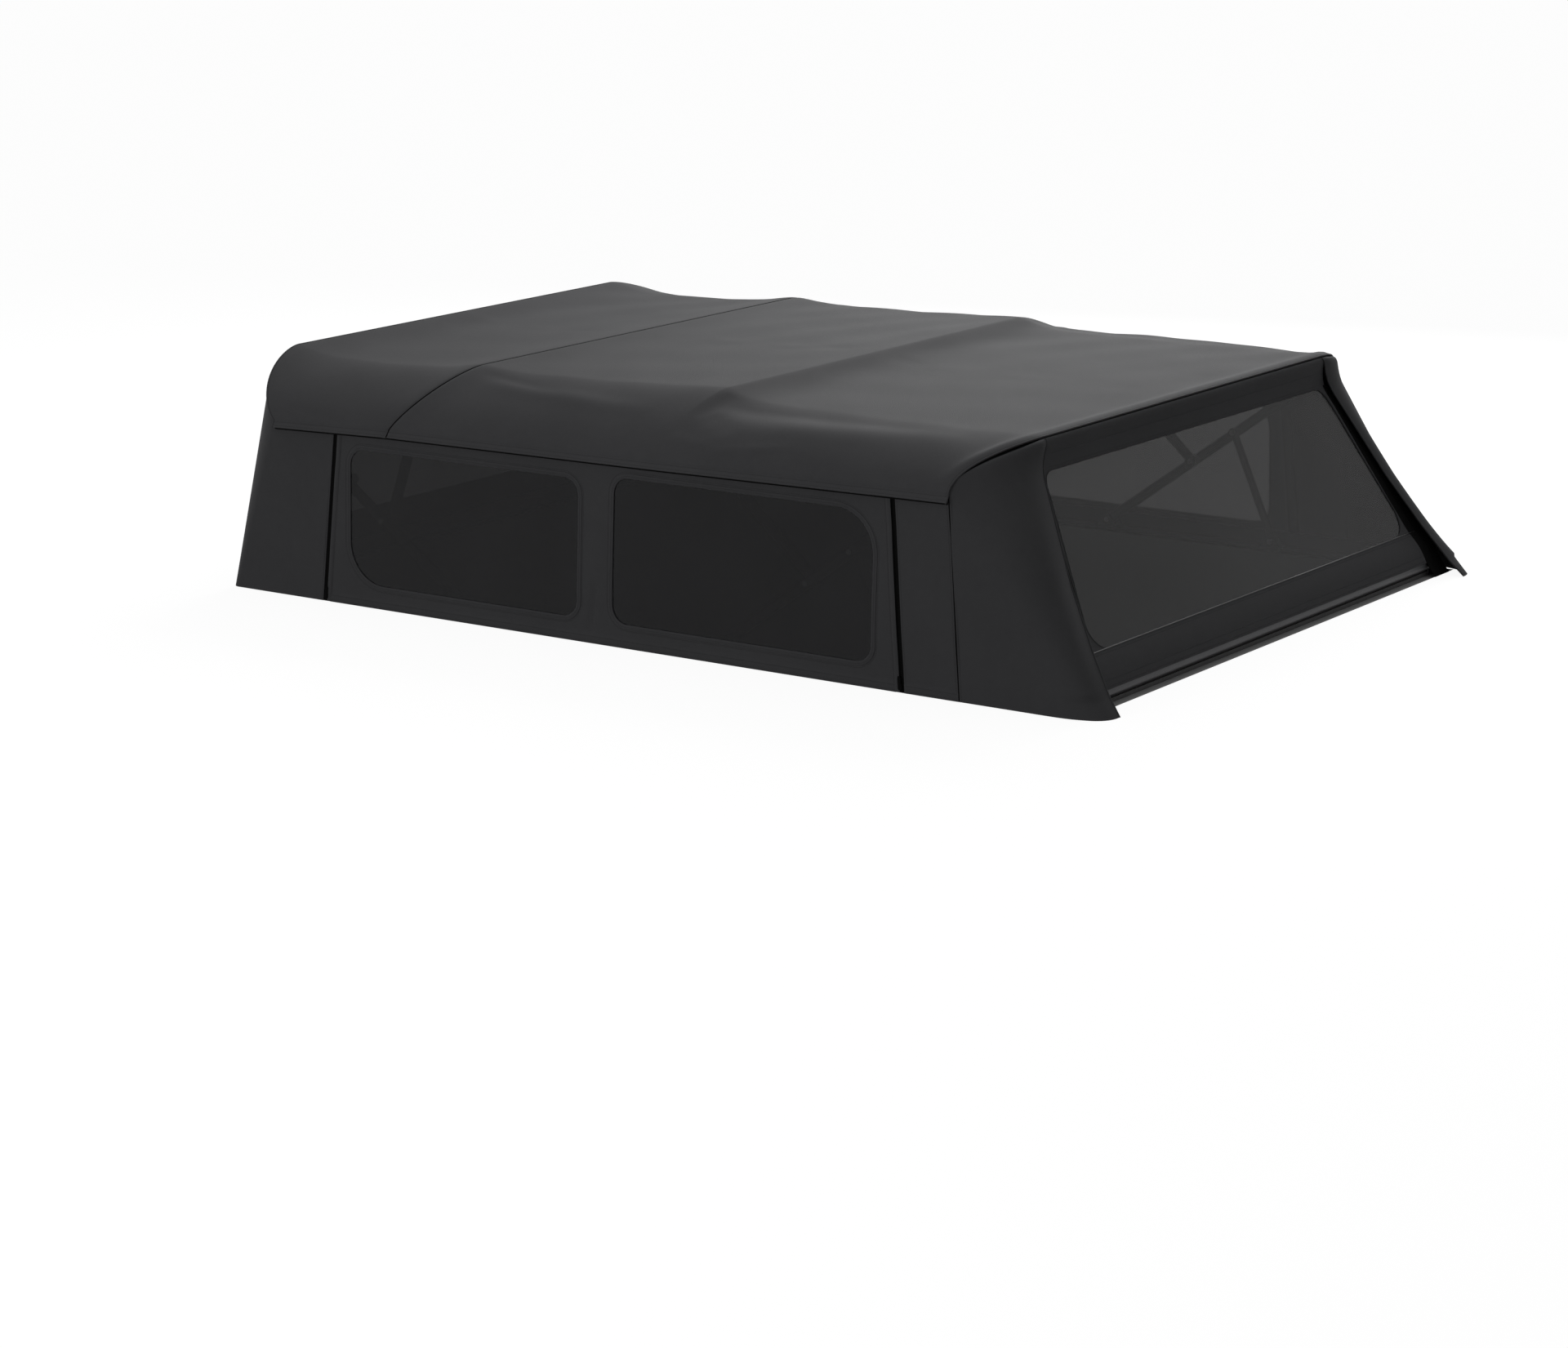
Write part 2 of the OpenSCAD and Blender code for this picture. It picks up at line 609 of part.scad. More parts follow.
// Frame: tubes bent in one plane, as [x, y, heading] stops along the tube
function heading(p, q) = atan2(q[1] - p[1], q[0] - p[0]);
function bent_stops(path, bend) =
    let (last = len(path) - 1)
    [for (i = [0 : last])
        if (i == 0) [path[0], heading(path[0], path[1])]
        else if (i == last) [path[last], heading(path[last - 1], path[last])]
        else let (from = heading(path[i - 1], path[i]), turn = heading(path[i], path[i + 1]) - from,
            cut = bend * tan(abs(turn) / 2),
            start = path[i] - cut * [cos(from), sin(from)],
            centre = start + bend * sign(turn) * [-sin(from), cos(from)])
        each [for (k = [0 : bend_steps])
            let (a = from + turn * k / bend_steps)
            [centre + bend * sign(turn) * [sin(a), -cos(a)], a]]];

module bent_tube(path, radius, bend) {
    stops = bent_stops(path, bend);
    n = tube_sides;
    last = len(stops) - 1;
    points = [for (s = stops, k = [0 : n - 1])
        let (a = 360 * (k + 0.5) / n)
        [s[0][0] - radius * cos(a) * sin(s[1]), s[0][1] + radius * cos(a) * cos(s[1]), radius * sin(a)]];
    skin = [for (i = [0 : last - 1], k = [0 : n - 1])
        let (j = (k + 1) % n)
        each [[i * n + k, (i + 1) * n + k, (i + 1) * n + j], [i * n + k, (i + 1) * n + j, i * n + j]]];
    caps = [[for (k = [0 : n - 1]) k], [for (k = [n - 1 : -1 : 0]) last * n + k]];
    polyhedron(points, concat(skin, caps));
}

function rise(p, q) = atan2(q[1] - p[1], q[0] - p[0]);
function along(p, q, d) = p + d * unit(q - p);

// Pivots and crossbars, as [x, z]
front_pivot = [half_length - front_pivot_setback, pivot_height];
rear_pivot = [rear_bow_x + rear_pivot_lead, pivot_height];
drop = fabric + seat_gap + bow_radius;
front_bar_x = half_length - drop - 2;
rear_bar_x = rear_bow_x + drop + seat_gap;
front_row = bay_row(0, (half_length - front_bar_x) / (half_length - second_bow_x));
rear_row = bay_row(2, (third_bow_x - rear_bar_x) / (third_bow_x - rear_bow_x));
front_bar = [front_bar_x, front_row[3] - drop];
rear_bar = [rear_bar_x, rear_row[3] - drop];
second_bar = [second_bow_x, second_bow_height - drop];
third_bar = [third_bow_x, third_bow_height - drop];
second_pivot = along(front_pivot, front_bar, inner_bow_reach);
third_pivot = along(rear_pivot, rear_bar, inner_bow_reach);
front_prop_top = along(front_pivot, front_bar, prop_reach);
rear_prop_top = along(rear_pivot, rear_bar, prop_reach);
front_prop_foot = front_pivot + [prop_spread, 0];
rear_prop_foot = rear_pivot - [prop_spread, 0];

// Places children on a plane through a pivot line: local X is Y, local Y runs up the plane
module on_plane(p, q) {
    translate([p[0], 0, p[1]]) rotate([0, -rise(p, q), 0]) rotate([0, 0, 90]) mirror([0, 1, 0]) children();
}

module hub(p, y, radius, width) {
    translate([p[0], y + width / 2, p[1]]) rotate([90, 0, 0]) cylinder(h = width, r = radius, $fn = 48);
}

module pin_bore(p, y, width) {
    hub(p, y, pin_radius + pin_clearance, width);
}

// Height of a tube's axis that lies under the deck's shoulder, some way out from the middle
function under(row, y) =
    let (width = shoulder_edge(row) - row[2], height = row[3] - row[4], k = row[5],
        out = (y - row[2]) / width, up = pow(1 - pow(out, k), 1 / k),
        slope = atan2(pow(out, k - 1) / width, pow(up, k - 1) / height))
    row[4] + height * up - drop / cos(slope);

// Bow in the plane from its pivot line to its crossbar, bent to follow the deck from below
module bow(p, q, leg_y, row, crossings = []) {
    scale_up = 1 / sin(rise(p, q));
    flat = row[2] - bar_inset;
    function up(y) = (under(row, y) - knee_gap - p[1]) * scale_up;
    mid_y = blend(row[2], leg_y, 0.55);
    path = [[-leg_y, 0], [-leg_y, up(leg_y)], [-mid_y, up(mid_y)], [-flat, norm(q - p)],
        [flat, norm(q - p)], [mid_y, up(mid_y)], [leg_y, up(leg_y)], [leg_y, 0]];
    difference() {
        union() {
            on_plane(p, q) bent_tube(path, bow_radius, bend_radius);
            for (s = [-1, 1]) hub(p, s * leg_y, bow_radius + 2, 2 * hub_half(bow_radius));
        }
        for (s = [-1, 1]) {
            pin_bore(p, s * leg_y, 60);
            for (c = crossings) pin_bore(c, s * leg_y, 60);
        }
    }
}

knee_gap = 4;
bar_inset = 20;

module front_bow() {
    color(black_steel) bow(front_pivot, front_bar, arm_y, front_row, [second_pivot, front_prop_top]);
}
module rear_bow() {
    color(black_steel) bow(rear_pivot, rear_bar, arm_y, rear_row, [third_pivot, rear_prop_top]);
}
module second_bow() { color(black_steel) bow(second_pivot, second_bar, inner_bow_y, BOWS[1]); }
module third_bow() { color(black_steel) bow(third_pivot, third_bar, inner_bow_y, BOWS[2]); }

// Half the width of the hub at the end of a tube
function hub_half(radius) = radius + 0.4;

// Prop between its foot on the rail and its pin on the main arm
module prop(foot, top) {
    run = top - foot;
    reach = norm(run);
    module leaned() { rotate([0, 90 - atan2(run[1], abs(run[0])), 0]) children(); }
    translate([foot[0], inner_y, foot[1]]) mirror([run[0] < 0 ? 1 : 0, 0, 0]) leaned() difference() {
        union() {
            cylinder(h = reach, r = prop_radius, $fn = 32);
            for (z = [0, reach]) translate([0, hub_half(prop_radius), z]) rotate([90, 0, 0])
                cylinder(h = 2 * hub_half(prop_radius), r = prop_radius + 2, $fn = 48);
        }
        for (z = [0, reach]) translate([0, 30, z]) rotate([90, 0, 0])
            cylinder(h = 60, r = pin_radius + pin_clearance, $fn = 48);
    }
}
module front_prop(left) { color(black_steel) side(left) prop(front_prop_foot, front_prop_top); }
module rear_prop(left) { color(black_steel) side(left) prop(rear_prop_foot, rear_prop_top); }

// Clevis brackets that stand on the belt rail's flange
ear = 4;
module clevis(p, y, gap) {
    foot = 56;
    base = 3;
    radius = bow_radius + 1;
    centre = [0, p[1]];
    corner = [foot / 2, rail_thick + base];
    reach = corner - centre;
    touch = atan2(reach[1], reach[0]) + acos(radius / norm(reach));
    tangent = centre + radius * [cos(touch), sin(touch)];
    difference() {
        union() {
            for (s = [-1, 1]) translate([p[0], y + s * (gap / 2 + ear / 2) + ear / 2, 0]) rotate([90, 0, 0])
                linear_extrude(ear) {
                    translate(centre) circle(radius, $fn = 48);
                    polygon([[-foot / 2, rail_thick], [foot / 2, rail_thick], corner, tangent, centre,
                        [-tangent[0], tangent[1]], [-corner[0], corner[1]]]);
                }
            translate([p[0] - foot / 2, y - gap / 2 - ear, rail_thick]) cube([foot, gap + 2 * ear, base]);
        }
        pin_bore(p, y, gap + 4 * ear);
    }
}

module pivot_brackets(left) {
    color(black_steel) side(left) {
        for (p = [front_pivot, rear_pivot]) clevis(p, arm_y, 2 * (hub_half(bow_radius) + seat_gap));
        for (p = [front_prop_foot, rear_prop_foot]) clevis(p, inner_y, 2 * (hub_half(prop_radius) + seat_gap));
    }
}

module pin(p, y0, y1) {
    head = 3;
    hub(p, (y0 + y1) / 2, pin_radius, y1 - y0);
    for (y = [y0 - head / 2, y1 + head / 2]) hub(p, y, pin_radius + 3, head);
}

module pivot_pins(left) {
    arm_half = hub_half(bow_radius) + seat_gap + ear;
    prop_half = hub_half(prop_radius) + seat_gap + ear;
    color(bright_steel) side(left) {
        for (p = [front_pivot, rear_pivot]) pin(p, arm_y - arm_half, arm_y + arm_half);
        for (p = [front_prop_foot, rear_prop_foot]) pin(p, inner_y - prop_half, inner_y + prop_half);
        for (p = [second_pivot, third_pivot]) pin(p, inner_bow_y - hub_half(bow_radius), arm_y + bow_radius);
        for (p = [front_prop_top, rear_prop_top]) pin(p, inner_y - hub_half(prop_radius), arm_y + bow_radius);
    }
}

belt_rail(true);  // belt_rail_left
belt_rail(false);  // belt_rail_right
front_rail();
tailgate_bar();
tailgate_seal();
bar_bracket(true);  // bar_bracket_left
bar_bracket(false);  // bar_bracket_right
pivot_brackets(true);  // pivot_brackets_left
pivot_brackets(false);  // pivot_brackets_right
front_bow();
second_bow();
third_bow();
rear_bow();
front_prop(true);  // front_prop_left
front_prop(false);  // front_prop_right
rear_prop(true);  // rear_prop_left
rear_prop(false);  // rear_prop_right
pivot_pins(true);  // pivot_pins_left
pivot_pins(false);  // pivot_pins_right
deck_front();
deck_rear();
front_panel();
front_window();
front_corner(true);  // front_corner_left
front_corner(false);  // front_corner_right
side_curtain(true);  // side_curtain_left
side_curtain(false);  // side_curtain_right
side_window_front(true);  // side_window_front_left
side_window_rear(true);  // side_window_rear_left
side_window_front(false);  // side_window_front_right
side_window_rear(false);  // side_window_rear_right
side_zips(true);  // side_zips_left
side_zips(false);  // side_zips_right
rear_quarter(true);  // rear_quarter_left
rear_quarter(false);  // rear_quarter_right
rear_corner(true);  // rear_corner_left
rear_corner(false);  // rear_corner_right
rear_curtain();
rear_window();
rear_zips();
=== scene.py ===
"""Soft folding canopy for a pickup bed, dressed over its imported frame.

Metres, X forward, Y to the left, Z up; Z = 0 is the top of the bed walls.
"""
import math

import bpy
import numpy as np
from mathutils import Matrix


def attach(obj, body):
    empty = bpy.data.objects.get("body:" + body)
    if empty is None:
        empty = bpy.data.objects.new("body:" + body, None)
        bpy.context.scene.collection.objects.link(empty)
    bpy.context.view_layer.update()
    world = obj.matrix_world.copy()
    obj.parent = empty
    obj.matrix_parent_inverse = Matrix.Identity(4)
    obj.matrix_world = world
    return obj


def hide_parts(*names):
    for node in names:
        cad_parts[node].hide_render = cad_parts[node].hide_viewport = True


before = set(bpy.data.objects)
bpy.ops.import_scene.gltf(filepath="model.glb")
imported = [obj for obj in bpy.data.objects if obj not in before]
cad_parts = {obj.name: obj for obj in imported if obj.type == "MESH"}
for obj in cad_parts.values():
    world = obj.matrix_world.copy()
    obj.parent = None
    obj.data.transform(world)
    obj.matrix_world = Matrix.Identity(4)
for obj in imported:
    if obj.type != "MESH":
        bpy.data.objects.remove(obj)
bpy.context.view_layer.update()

# Camera: a long lens behind the left rear corner, a little above the deck, level with the horizon
# to a tenth of a degree.
CAMERA_PLACE = (-5.3866, 8.1496, 2.1327)
CAMERA_BEARING = 214.4
CAMERA_DROP = 13.68
CAMERA_ROLL = 0.1
IMAGE_WIDTH = 1920
FOCAL_PIXELS = 4975

lens = bpy.data.cameras.new("camera")
lens.sensor_fit = "HORIZONTAL"
lens.sensor_width = 36
lens.lens = lens.sensor_width * FOCAL_PIXELS / IMAGE_WIDTH
lens.clip_end = 200
camera = bpy.data.objects.new("camera", lens)
camera.location = CAMERA_PLACE
camera.rotation_euler = (math.radians(90 - CAMERA_DROP), math.radians(CAMERA_ROLL), math.radians(CAMERA_BEARING))
bpy.context.scene.collection.objects.link(camera)
bpy.context.scene.camera = camera
bpy.context.scene.view_settings.view_transform = "Standard"


# Studio: a pale floor at the level of the bed walls, weak light all round and two soft
# lamps, the stronger one ahead and to the right, so that slopes that face the tail or the left
# are the darker ones.
class Wire:
    """Value in a shader tree. Arithmetic on it adds Math nodes to the tree."""

    def __init__(self, finish, socket):
        self.finish = finish
        self.socket = socket

    def math(self, operation, *values):
        return self.finish.node("ShaderNodeMath", {"operation": operation}, dict(enumerate(values)))

    def __add__(self, other):
        return self.math("ADD", self, other)

    def __sub__(self, other):
        return self.math("SUBTRACT", self, other)

    def __rsub__(self, other):
        return self.math("SUBTRACT", other, self)

    def __mul__(self, other):
        return self.math("MULTIPLY", self, other)

    def __pow__(self, other):
        return self.math("POWER", self, other)

    __radd__ = __add__
    __rmul__ = __mul__


class Finish:
    """Material under construction, with one Principled shader."""

    def __init__(self, name, **constants):
        self.material = bpy.data.materials.new(name)
        self.material.use_nodes = True
        self.tree = self.material.node_tree
        self.shader = self.tree.nodes["Principled BSDF"]
        for key, value in constants.items():
            self.set(key.replace("_", " "), value)

    def feed(self, socket, value):
        if isinstance(value, Wire):
            self.tree.links.new(value.socket, socket)
        else:
            socket.default_value = value

    def set(self, name, value):
        self.feed(self.shader.inputs[name], value)

    def node(self, kind, settings, inputs, output=0):
        made = self.tree.nodes.new(kind)
        for key, value in settings.items():
            setattr(made, key, value)
        for key, value in inputs.items():
            self.feed(made.inputs[key], value)
        return Wire(self, made.outputs[output])

    def place(self):
        return self.node("ShaderNodeTexCoord", {}, {}, "Object")

    def noise(self, scale, detail=2, rough=0.5, stretch=(1, 1, 1)):
        at = self.node("ShaderNodeMapping", {}, {"Vector": self.place(), "Scale": stretch})
        return self.node("ShaderNodeTexNoise", {}, {"Vector": at, "Scale": scale, "Detail": detail, "Roughness": rough})

    def blend(self, share, first, second):
        return self.node("ShaderNodeMix", {"data_type": "RGBA"}, {0: share, 6: first, 7: second}, 2)

    def bump(self, height, distance, strength=1.0):
        self.set("Normal", self.node("ShaderNodeBump", {}, {"Height": height, "Distance": distance, "Strength": strength}))


FLOOR_SIZE = 60
FLOOR_SHADE = (0.92, 0.92, 0.92, 1)
# Floor colour for bounced light everywhere, and also the painted shade of the floor under the canopy
FLOOR_BOUNCE_AND_SHADE = (0.30, 0.30, 0.30, 1)
# Half length and half width of the floor under the canopy, where the floor is painted shade: camera rays there see the
# dark bounce colour and no glow
SHADED = (1.19, 0.91)

floor_finish = Finish("pale_floor", Roughness=0.9, Specular_IOR_Level=0.1)
spot = floor_finish.place()
beyond = [floor_finish.node("ShaderNodeSeparateXYZ", {}, {0: spot}, axis) for axis in (0, 1)]
beyond = [a.math("GREATER_THAN", a.math("ABSOLUTE", a), reach) for a, reach in zip(beyond, SHADED)]
ray = {kind: floor_finish.node("ShaderNodeLightPath", {}, {}, kind)
       for kind in ("Is Camera Ray", "Is Glossy Ray", "Is Transmission Ray")}
seen = (ray["Is Camera Ray"] + ray["Is Glossy Ray"] + ray["Is Transmission Ray"]) * spot.math("MAXIMUM", *beyond)
# Camera rays under the canopy get the dark bounce colour: painted shade on the floor inside.
floor_finish.set("Base Color", floor_finish.blend(seen, FLOOR_BOUNCE_AND_SHADE, FLOOR_SHADE))
glow = floor_finish.node("ShaderNodeEmission", {}, {"Color": (1, 1, 1, 1), "Strength": 1.15})
lit = Wire(floor_finish, floor_finish.shader.outputs[0])
both = floor_finish.node("ShaderNodeMixShader", {}, {0: seen * 0.8, 1: lit, 2: glow})
floor_finish.feed(floor_finish.tree.nodes["Material Output"].inputs[0], both)

half = FLOOR_SIZE / 2
floor_mesh = bpy.data.meshes.new("floor")
floor_mesh.from_pydata([(-half, -half, 0), (half, -half, 0), (half, half, 0), (-half, half, 0)], [], [(0, 1, 2, 3)])
floor_mesh.materials.append(floor_finish.material)
floor = bpy.data.objects.new("floor", floor_mesh)
bpy.context.scene.collection.objects.link(floor)

# Strength of the light from the horizon and from straight above
DOME_LOW = 0.10
DOME_HIGH = 0.40

sky = bpy.data.worlds.new("studio")
bpy.context.scene.world = sky
sky.use_nodes = True
wires = sky.node_tree
backdrop = wires.nodes["Background"]
ray_kind = wires.nodes.new("ShaderNodeLightPath")
shown = ray_kind.outputs["Is Camera Ray"]
for kind in ("Is Glossy Ray", "Is Transmission Ray"):
    either = wires.nodes.new("ShaderNodeMath")
    either.operation = "MAXIMUM"
    wires.links.new(shown, either.inputs[0])
    wires.links.new(ray_kind.outputs[kind], either.inputs[1])
    shown = either.outputs[0]
level = wires.nodes.new("ShaderNodeMix")
level.inputs[3].default_value = 1.0
heading = wires.nodes.new("ShaderNodeTexCoord")
height = wires.nodes.new("ShaderNodeSeparateXYZ")
wires.links.new(heading.outputs["Generated"], height.inputs[0])
dome = wires.nodes.new("ShaderNodeMapRange")
dome.inputs["To Min"].default_value = DOME_LOW
dome.inputs["To Max"].default_value = DOME_HIGH
wires.links.new(height.outputs["Z"], dome.inputs["Value"])
wires.links.new(dome.outputs[0], level.inputs[2])
wires.links.new(shown, level.inputs[0])
wires.links.new(level.outputs[0], backdrop.inputs["Strength"])
backdrop.inputs["Color"].default_value = (1, 1, 1, 1)


def soft_lamp(name, place, aim, size, power):
    lamp = bpy.data.lights.new(name, "AREA")
    lamp.size = size
    lamp.energy = power
    made = bpy.data.objects.new(name, lamp)
    made.location = place
    away = np.array(aim) - np.array(place)
    made.rotation_euler = (math.atan2(math.hypot(away[0], away[1]), -away[2]), 0, math.atan2(-away[0], away[1]))
    bpy.context.scene.collection.objects.link(made)


soft_lamp("key", (0.8, -2.9, 2.3), (0, 0, 0.4), 3.0, 98)
soft_lamp("fill", (0.5, 7.0, 1.2), (0, 0, 0.3), 2.5, 90)


# Belt rails and front rail: black anodised aluminium extrusions, drawn along their length, that
# are clamped to the top of the bed walls and hold the beaded hems of the curtains.
def drawn_metal(name, shade, rough, stretch):
    made = Finish(name, Metallic=0.85)
    streak = made.noise(22, 3, 0.6, stretch)
    grime = made.noise(9, 4, 0.65)
    made.set("Base Color", made.blend(grime, [0.8 * c for c in shade] + [1], [1.25 * c for c in shade] + [1]))
    made.set("Roughness", streak * 0.14 + (rough - 0.07))
    made.bump(streak, 0.0002, 0.35)
    return made.material


def coat(material, *nodes):
    for node in nodes:
        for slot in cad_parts[node].material_slots:
            slot.material = material


EXTRUSION_SHADE = (0.03, 0.03, 0.032)
rail_metal = drawn_metal("black_extrusion_along", EXTRUSION_SHADE, 0.42, (0.2, 30, 30))
cross_metal = drawn_metal("black_extrusion_across", EXTRUSION_SHADE, 0.42, (30, 0.2, 30))
coat(rail_metal, "belt_rail_left", "belt_rail_right")
coat(cross_metal, "front_rail", "tailgate_bar")


# Seal under the tailgate bar: extruded black rubber, a little dusty, glued along the bar.
rubber = Finish("seal_rubber", Base_Color=(0.014, 0.014, 0.015, 1))
dust = rubber.noise(60, 4, 0.7)
rubber.set("Base Color", rubber.blend(dust, (0.011, 0.011, 0.012, 1), (0.03, 0.029, 0.028, 1)))
rubber.set("Roughness", dust * 0.2 + 0.65)
rubber.bump(rubber.noise(400, 2), 0.0002, 0.4)
coat(rubber.material, "tailgate_seal")


# Frame: bows, props and brackets of bent steel tube and plate, under a satin black powder coat
# with its faint orange peel.
POWDER_SHADE = (0.022, 0.022, 0.023, 1)
POWDER_WORN = (0.036, 0.036, 0.038, 1)
powder = Finish("black_powder_coat")
peel = powder.noise(420, 2, 0.5)
rub = powder.noise(14, 4, 0.6)
powder.set("Base Color", powder.blend(rub, POWDER_SHADE, POWDER_WORN))
powder.set("Roughness", rub * 0.16 + 0.34)
powder.bump(peel, 0.0002, 0.3)
coat(powder.material, "bar_bracket_left", "bar_bracket_right", "pivot_brackets_left", "pivot_brackets_right",
     "front_bow", "second_bow", "third_bow", "rear_bow",
     "front_prop_left", "front_prop_right", "rear_prop_left", "rear_prop_right")


# Pivot pins: turned steel with headed ends, zinc plated and brushed by the clevis holes.
zinc = Finish("zinc_plate", Metallic=0.95)
bloom = zinc.noise(180, 3, 0.6)
zinc.set("Base Color", zinc.blend(bloom, (0.42, 0.42, 0.43, 1), (0.62, 0.62, 0.6, 1)))
zinc.set("Roughness", bloom * 0.25 + 0.25)
zinc.bump(bloom, 0.0001, 0.3)
coat(zinc.material, "pivot_pins_left", "pivot_pins_right")


# Deck: one sheet of black coated twill over the four bows. It is seamed at the second bow, drops
# behind the third, and hangs over the curtains in a narrow flap on both sides.
HALF_WIDTH = 0.926
WALL_LEAN = 0.031
SEAT_GAP = 0.0003
FABRIC = 0.0025
FLAP_HEIGHT = 0.016
FLAP_FLARE = 0.009
# Each bow: top x, edge x, half flat width, top height, edge height, roundness of the shoulder, sweep
BOWS = np.array([
    [1.208, 1.052, 0.640, 0.557, 0.424, 1.5, 1],
    [0.621, 0.697, 0.653, 0.562, 0.434, 1.5, 1],
    [-0.084, -0.070, 0.635, 0.571, 0.440, 1.5, 1],
    [-0.934, -0.854, 0.655, 0.545, 0.450, 1.7, 2.5]])
BAY_ROWS = 44
SHOULDER_STEPS = 32
FLAT_STEPS = 26
# Dips between the bows: depth, and how soon they set in behind one bow and ahead of the next
BAY_DIPS = ((0.022, 0.075, 0.11), (0.010, 0.065, 0.20), (0.026, 0.058, 0))
# Folds of the deck's left half: two ends in plan, width and height
DECK_FOLDS = (
    ((0.55, 0.74), (0.02, 0.80), 0.030, 0.0040),
    ((0.60, 0.69), (0.30, 0.76), 0.018, -0.0020),
    ((-0.118, 0.66), (-0.122, 0.80), 0.018, -0.0030),
    ((-0.135, 0.78), (-0.230, 0.84), 0.028, -0.0038),
    ((-0.085, 0.865), (-0.200, 0.885), 0.012, 0.0020),
    ((-0.18, 0.90), (-0.42, 0.86), 0.010, 0.0022),
    ((-0.10, 0.905), (-0.33, 0.915), 0.006, -0.0022),
    ((-0.30, 0.80), (-0.80, 0.74), 0.050, 0.0030),
    ((1.03, 0.89), (0.78, 0.925), 0.007, -0.0020))


def wall_y(z):
    return HALF_WIDTH - WALL_LEAN * z


def smooth(value, start, end):
    t = np.clip((np.asarray(value, float) - start) / (end - start), 0, 1)
    return t * t * (3 - 2 * t)


def onset(distance, reach):
    return 1 - np.exp(-(np.maximum(distance, 0) / reach) ** 1.5)


def deck_dip(bay, t):
    depth, behind, ahead = BAY_DIPS[bay]
    length = BOWS[bay][0] - BOWS[bay + 1][0]
    rise = onset((1 - t) * length, ahead) if ahead else (1 - t) ** 0.9
    return depth * onset(t * length, behind) * rise


def shoulder(row, turn):
    """Point of a bow's shoulder, from the flat top at a turn of 0 to the lower edge at 90."""
    out = np.sin(np.radians(turn)) ** (2 / row[5])
    up = np.cos(np.radians(turn)) ** (2 / row[5])
    width = wall_y(row[4]) + SEAT_GAP + FABRIC - row[2]
    return np.array([row[1] + (row[0] - row[1]) * up ** row[6], row[2] + width * out,
                     row[4] + (row[3] - row[4]) * up])


def deck_line(bay, t):
    """Left half of a section of the deck, from the flap to the middle."""
    row = BOWS[bay] * (1 - t) + BOWS[bay + 1] * t
    dip = deck_dip(bay, t)
    line = []
    for drop in (1, 0.75, 0.5, 0.25, 0.1):
        z = row[4] - drop * FLAP_HEIGHT
        line.append((row[1], wall_y(z) + SEAT_GAP + FABRIC + FLAP_FLARE * drop ** 1.5, z))
    for turn in np.linspace(90, 0, SHOULDER_STEPS + 1):
        base = shoulder(row, turn)
        fade = 1 - smooth(base[1], 0.70, 0.83) if bay == 2 else 1
        sunk = row.copy()
        sunk[3] -= dip * fade
        line.append(shoulder(sunk, turn))
    for share in np.linspace(1, 0, FLAT_STEPS + 1)[1:]:
        line.append((row[0], row[2] * share, row[3] - dip))
    return np.array(line)


def folds(a, b, table):
    """Height of a table of soft folds at points (a, b)."""
    total = np.zeros_like(a)
    for (a0, b0), (a1, b1), width, height in table:
        along = np.array([a1 - a0, b1 - b0])
        t = np.clip(((a - a0) * along[0] + (b - b0) * along[1]) / along.dot(along), 0, 1)
        away = np.hypot(a - a0 - t * along[0], b - b0 - t * along[1])
        total += height * np.exp(-(away / width) ** 2) * (1 - (2 * t - 1) ** 4)
    return total


def quads(rows, cols, closed=False):
    at = np.arange(rows * cols).reshape(rows, cols)
    if closed:
        at = np.concatenate([at, at[:, :1]], 1)
    return np.stack([at[:-1, :-1], at[:-1, 1:], at[1:, 1:], at[1:, :-1]], -1).reshape(-1, 4)


def face_turns(points, faces):
    return np.cross(points[faces[:, 2]] - points[faces[:, 0]], points[faces[:, 3]] - points[faces[:, 1]])


def point_normals(points, faces):
    total = np.zeros_like(points)
    for k in range(4):
        np.add.at(total, faces[:, k], face_turns(points, faces))
    return total / np.maximum(np.linalg.norm(total, axis=1, keepdims=True), 1e-12)


def make_piece(name, points, faces, material, nodes=()):
    mesh = bpy.data.meshes.new(name)
    mesh.from_pydata(np.asarray(points).tolist(), [], [list(f) for f in faces])
    mesh.materials.append(material)
    mesh.shade_smooth()
    mesh.set_sharp_from_angle(angle=math.radians(48))
    piece = bpy.data.objects.new(name, mesh)
    bpy.context.scene.collection.objects.link(piece)
    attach(piece, "root")
    if nodes:
        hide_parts(*nodes)
    return piece


def cloth(name, points, faces, thickness, material, slot, flat, rests_on, nodes=()):
    """Closed sheet of cloth: the outer points, the same sunk along their normals, and a rim."""
    used, faces = np.unique(faces, return_inverse=True)
    points, faces = points[used], faces.reshape(-1, 4)
    area = np.linalg.norm(face_turns(points, faces), axis=1).sum() / 2
    count = len(points)
    edges = np.concatenate([faces[:, [k, (k + 1) % 4]] for k in range(4)])
    rim = edges[~np.isin(edges[:, 0] * count + edges[:, 1], edges[:, 1] * count + edges[:, 0])]
    rim = np.stack([rim[:, 1], rim[:, 0], rim[:, 0] + count, rim[:, 1] + count], 1)
    lining = faces[:, ::-1] + count
    sunk = points - thickness * point_normals(points, faces)
    piece = make_piece(name, np.concatenate([points, sunk]), np.concatenate([faces, lining, rim]).tolist(),
                       material, nodes)
    min(float(area), flat[0] * flat[1])
    return piece


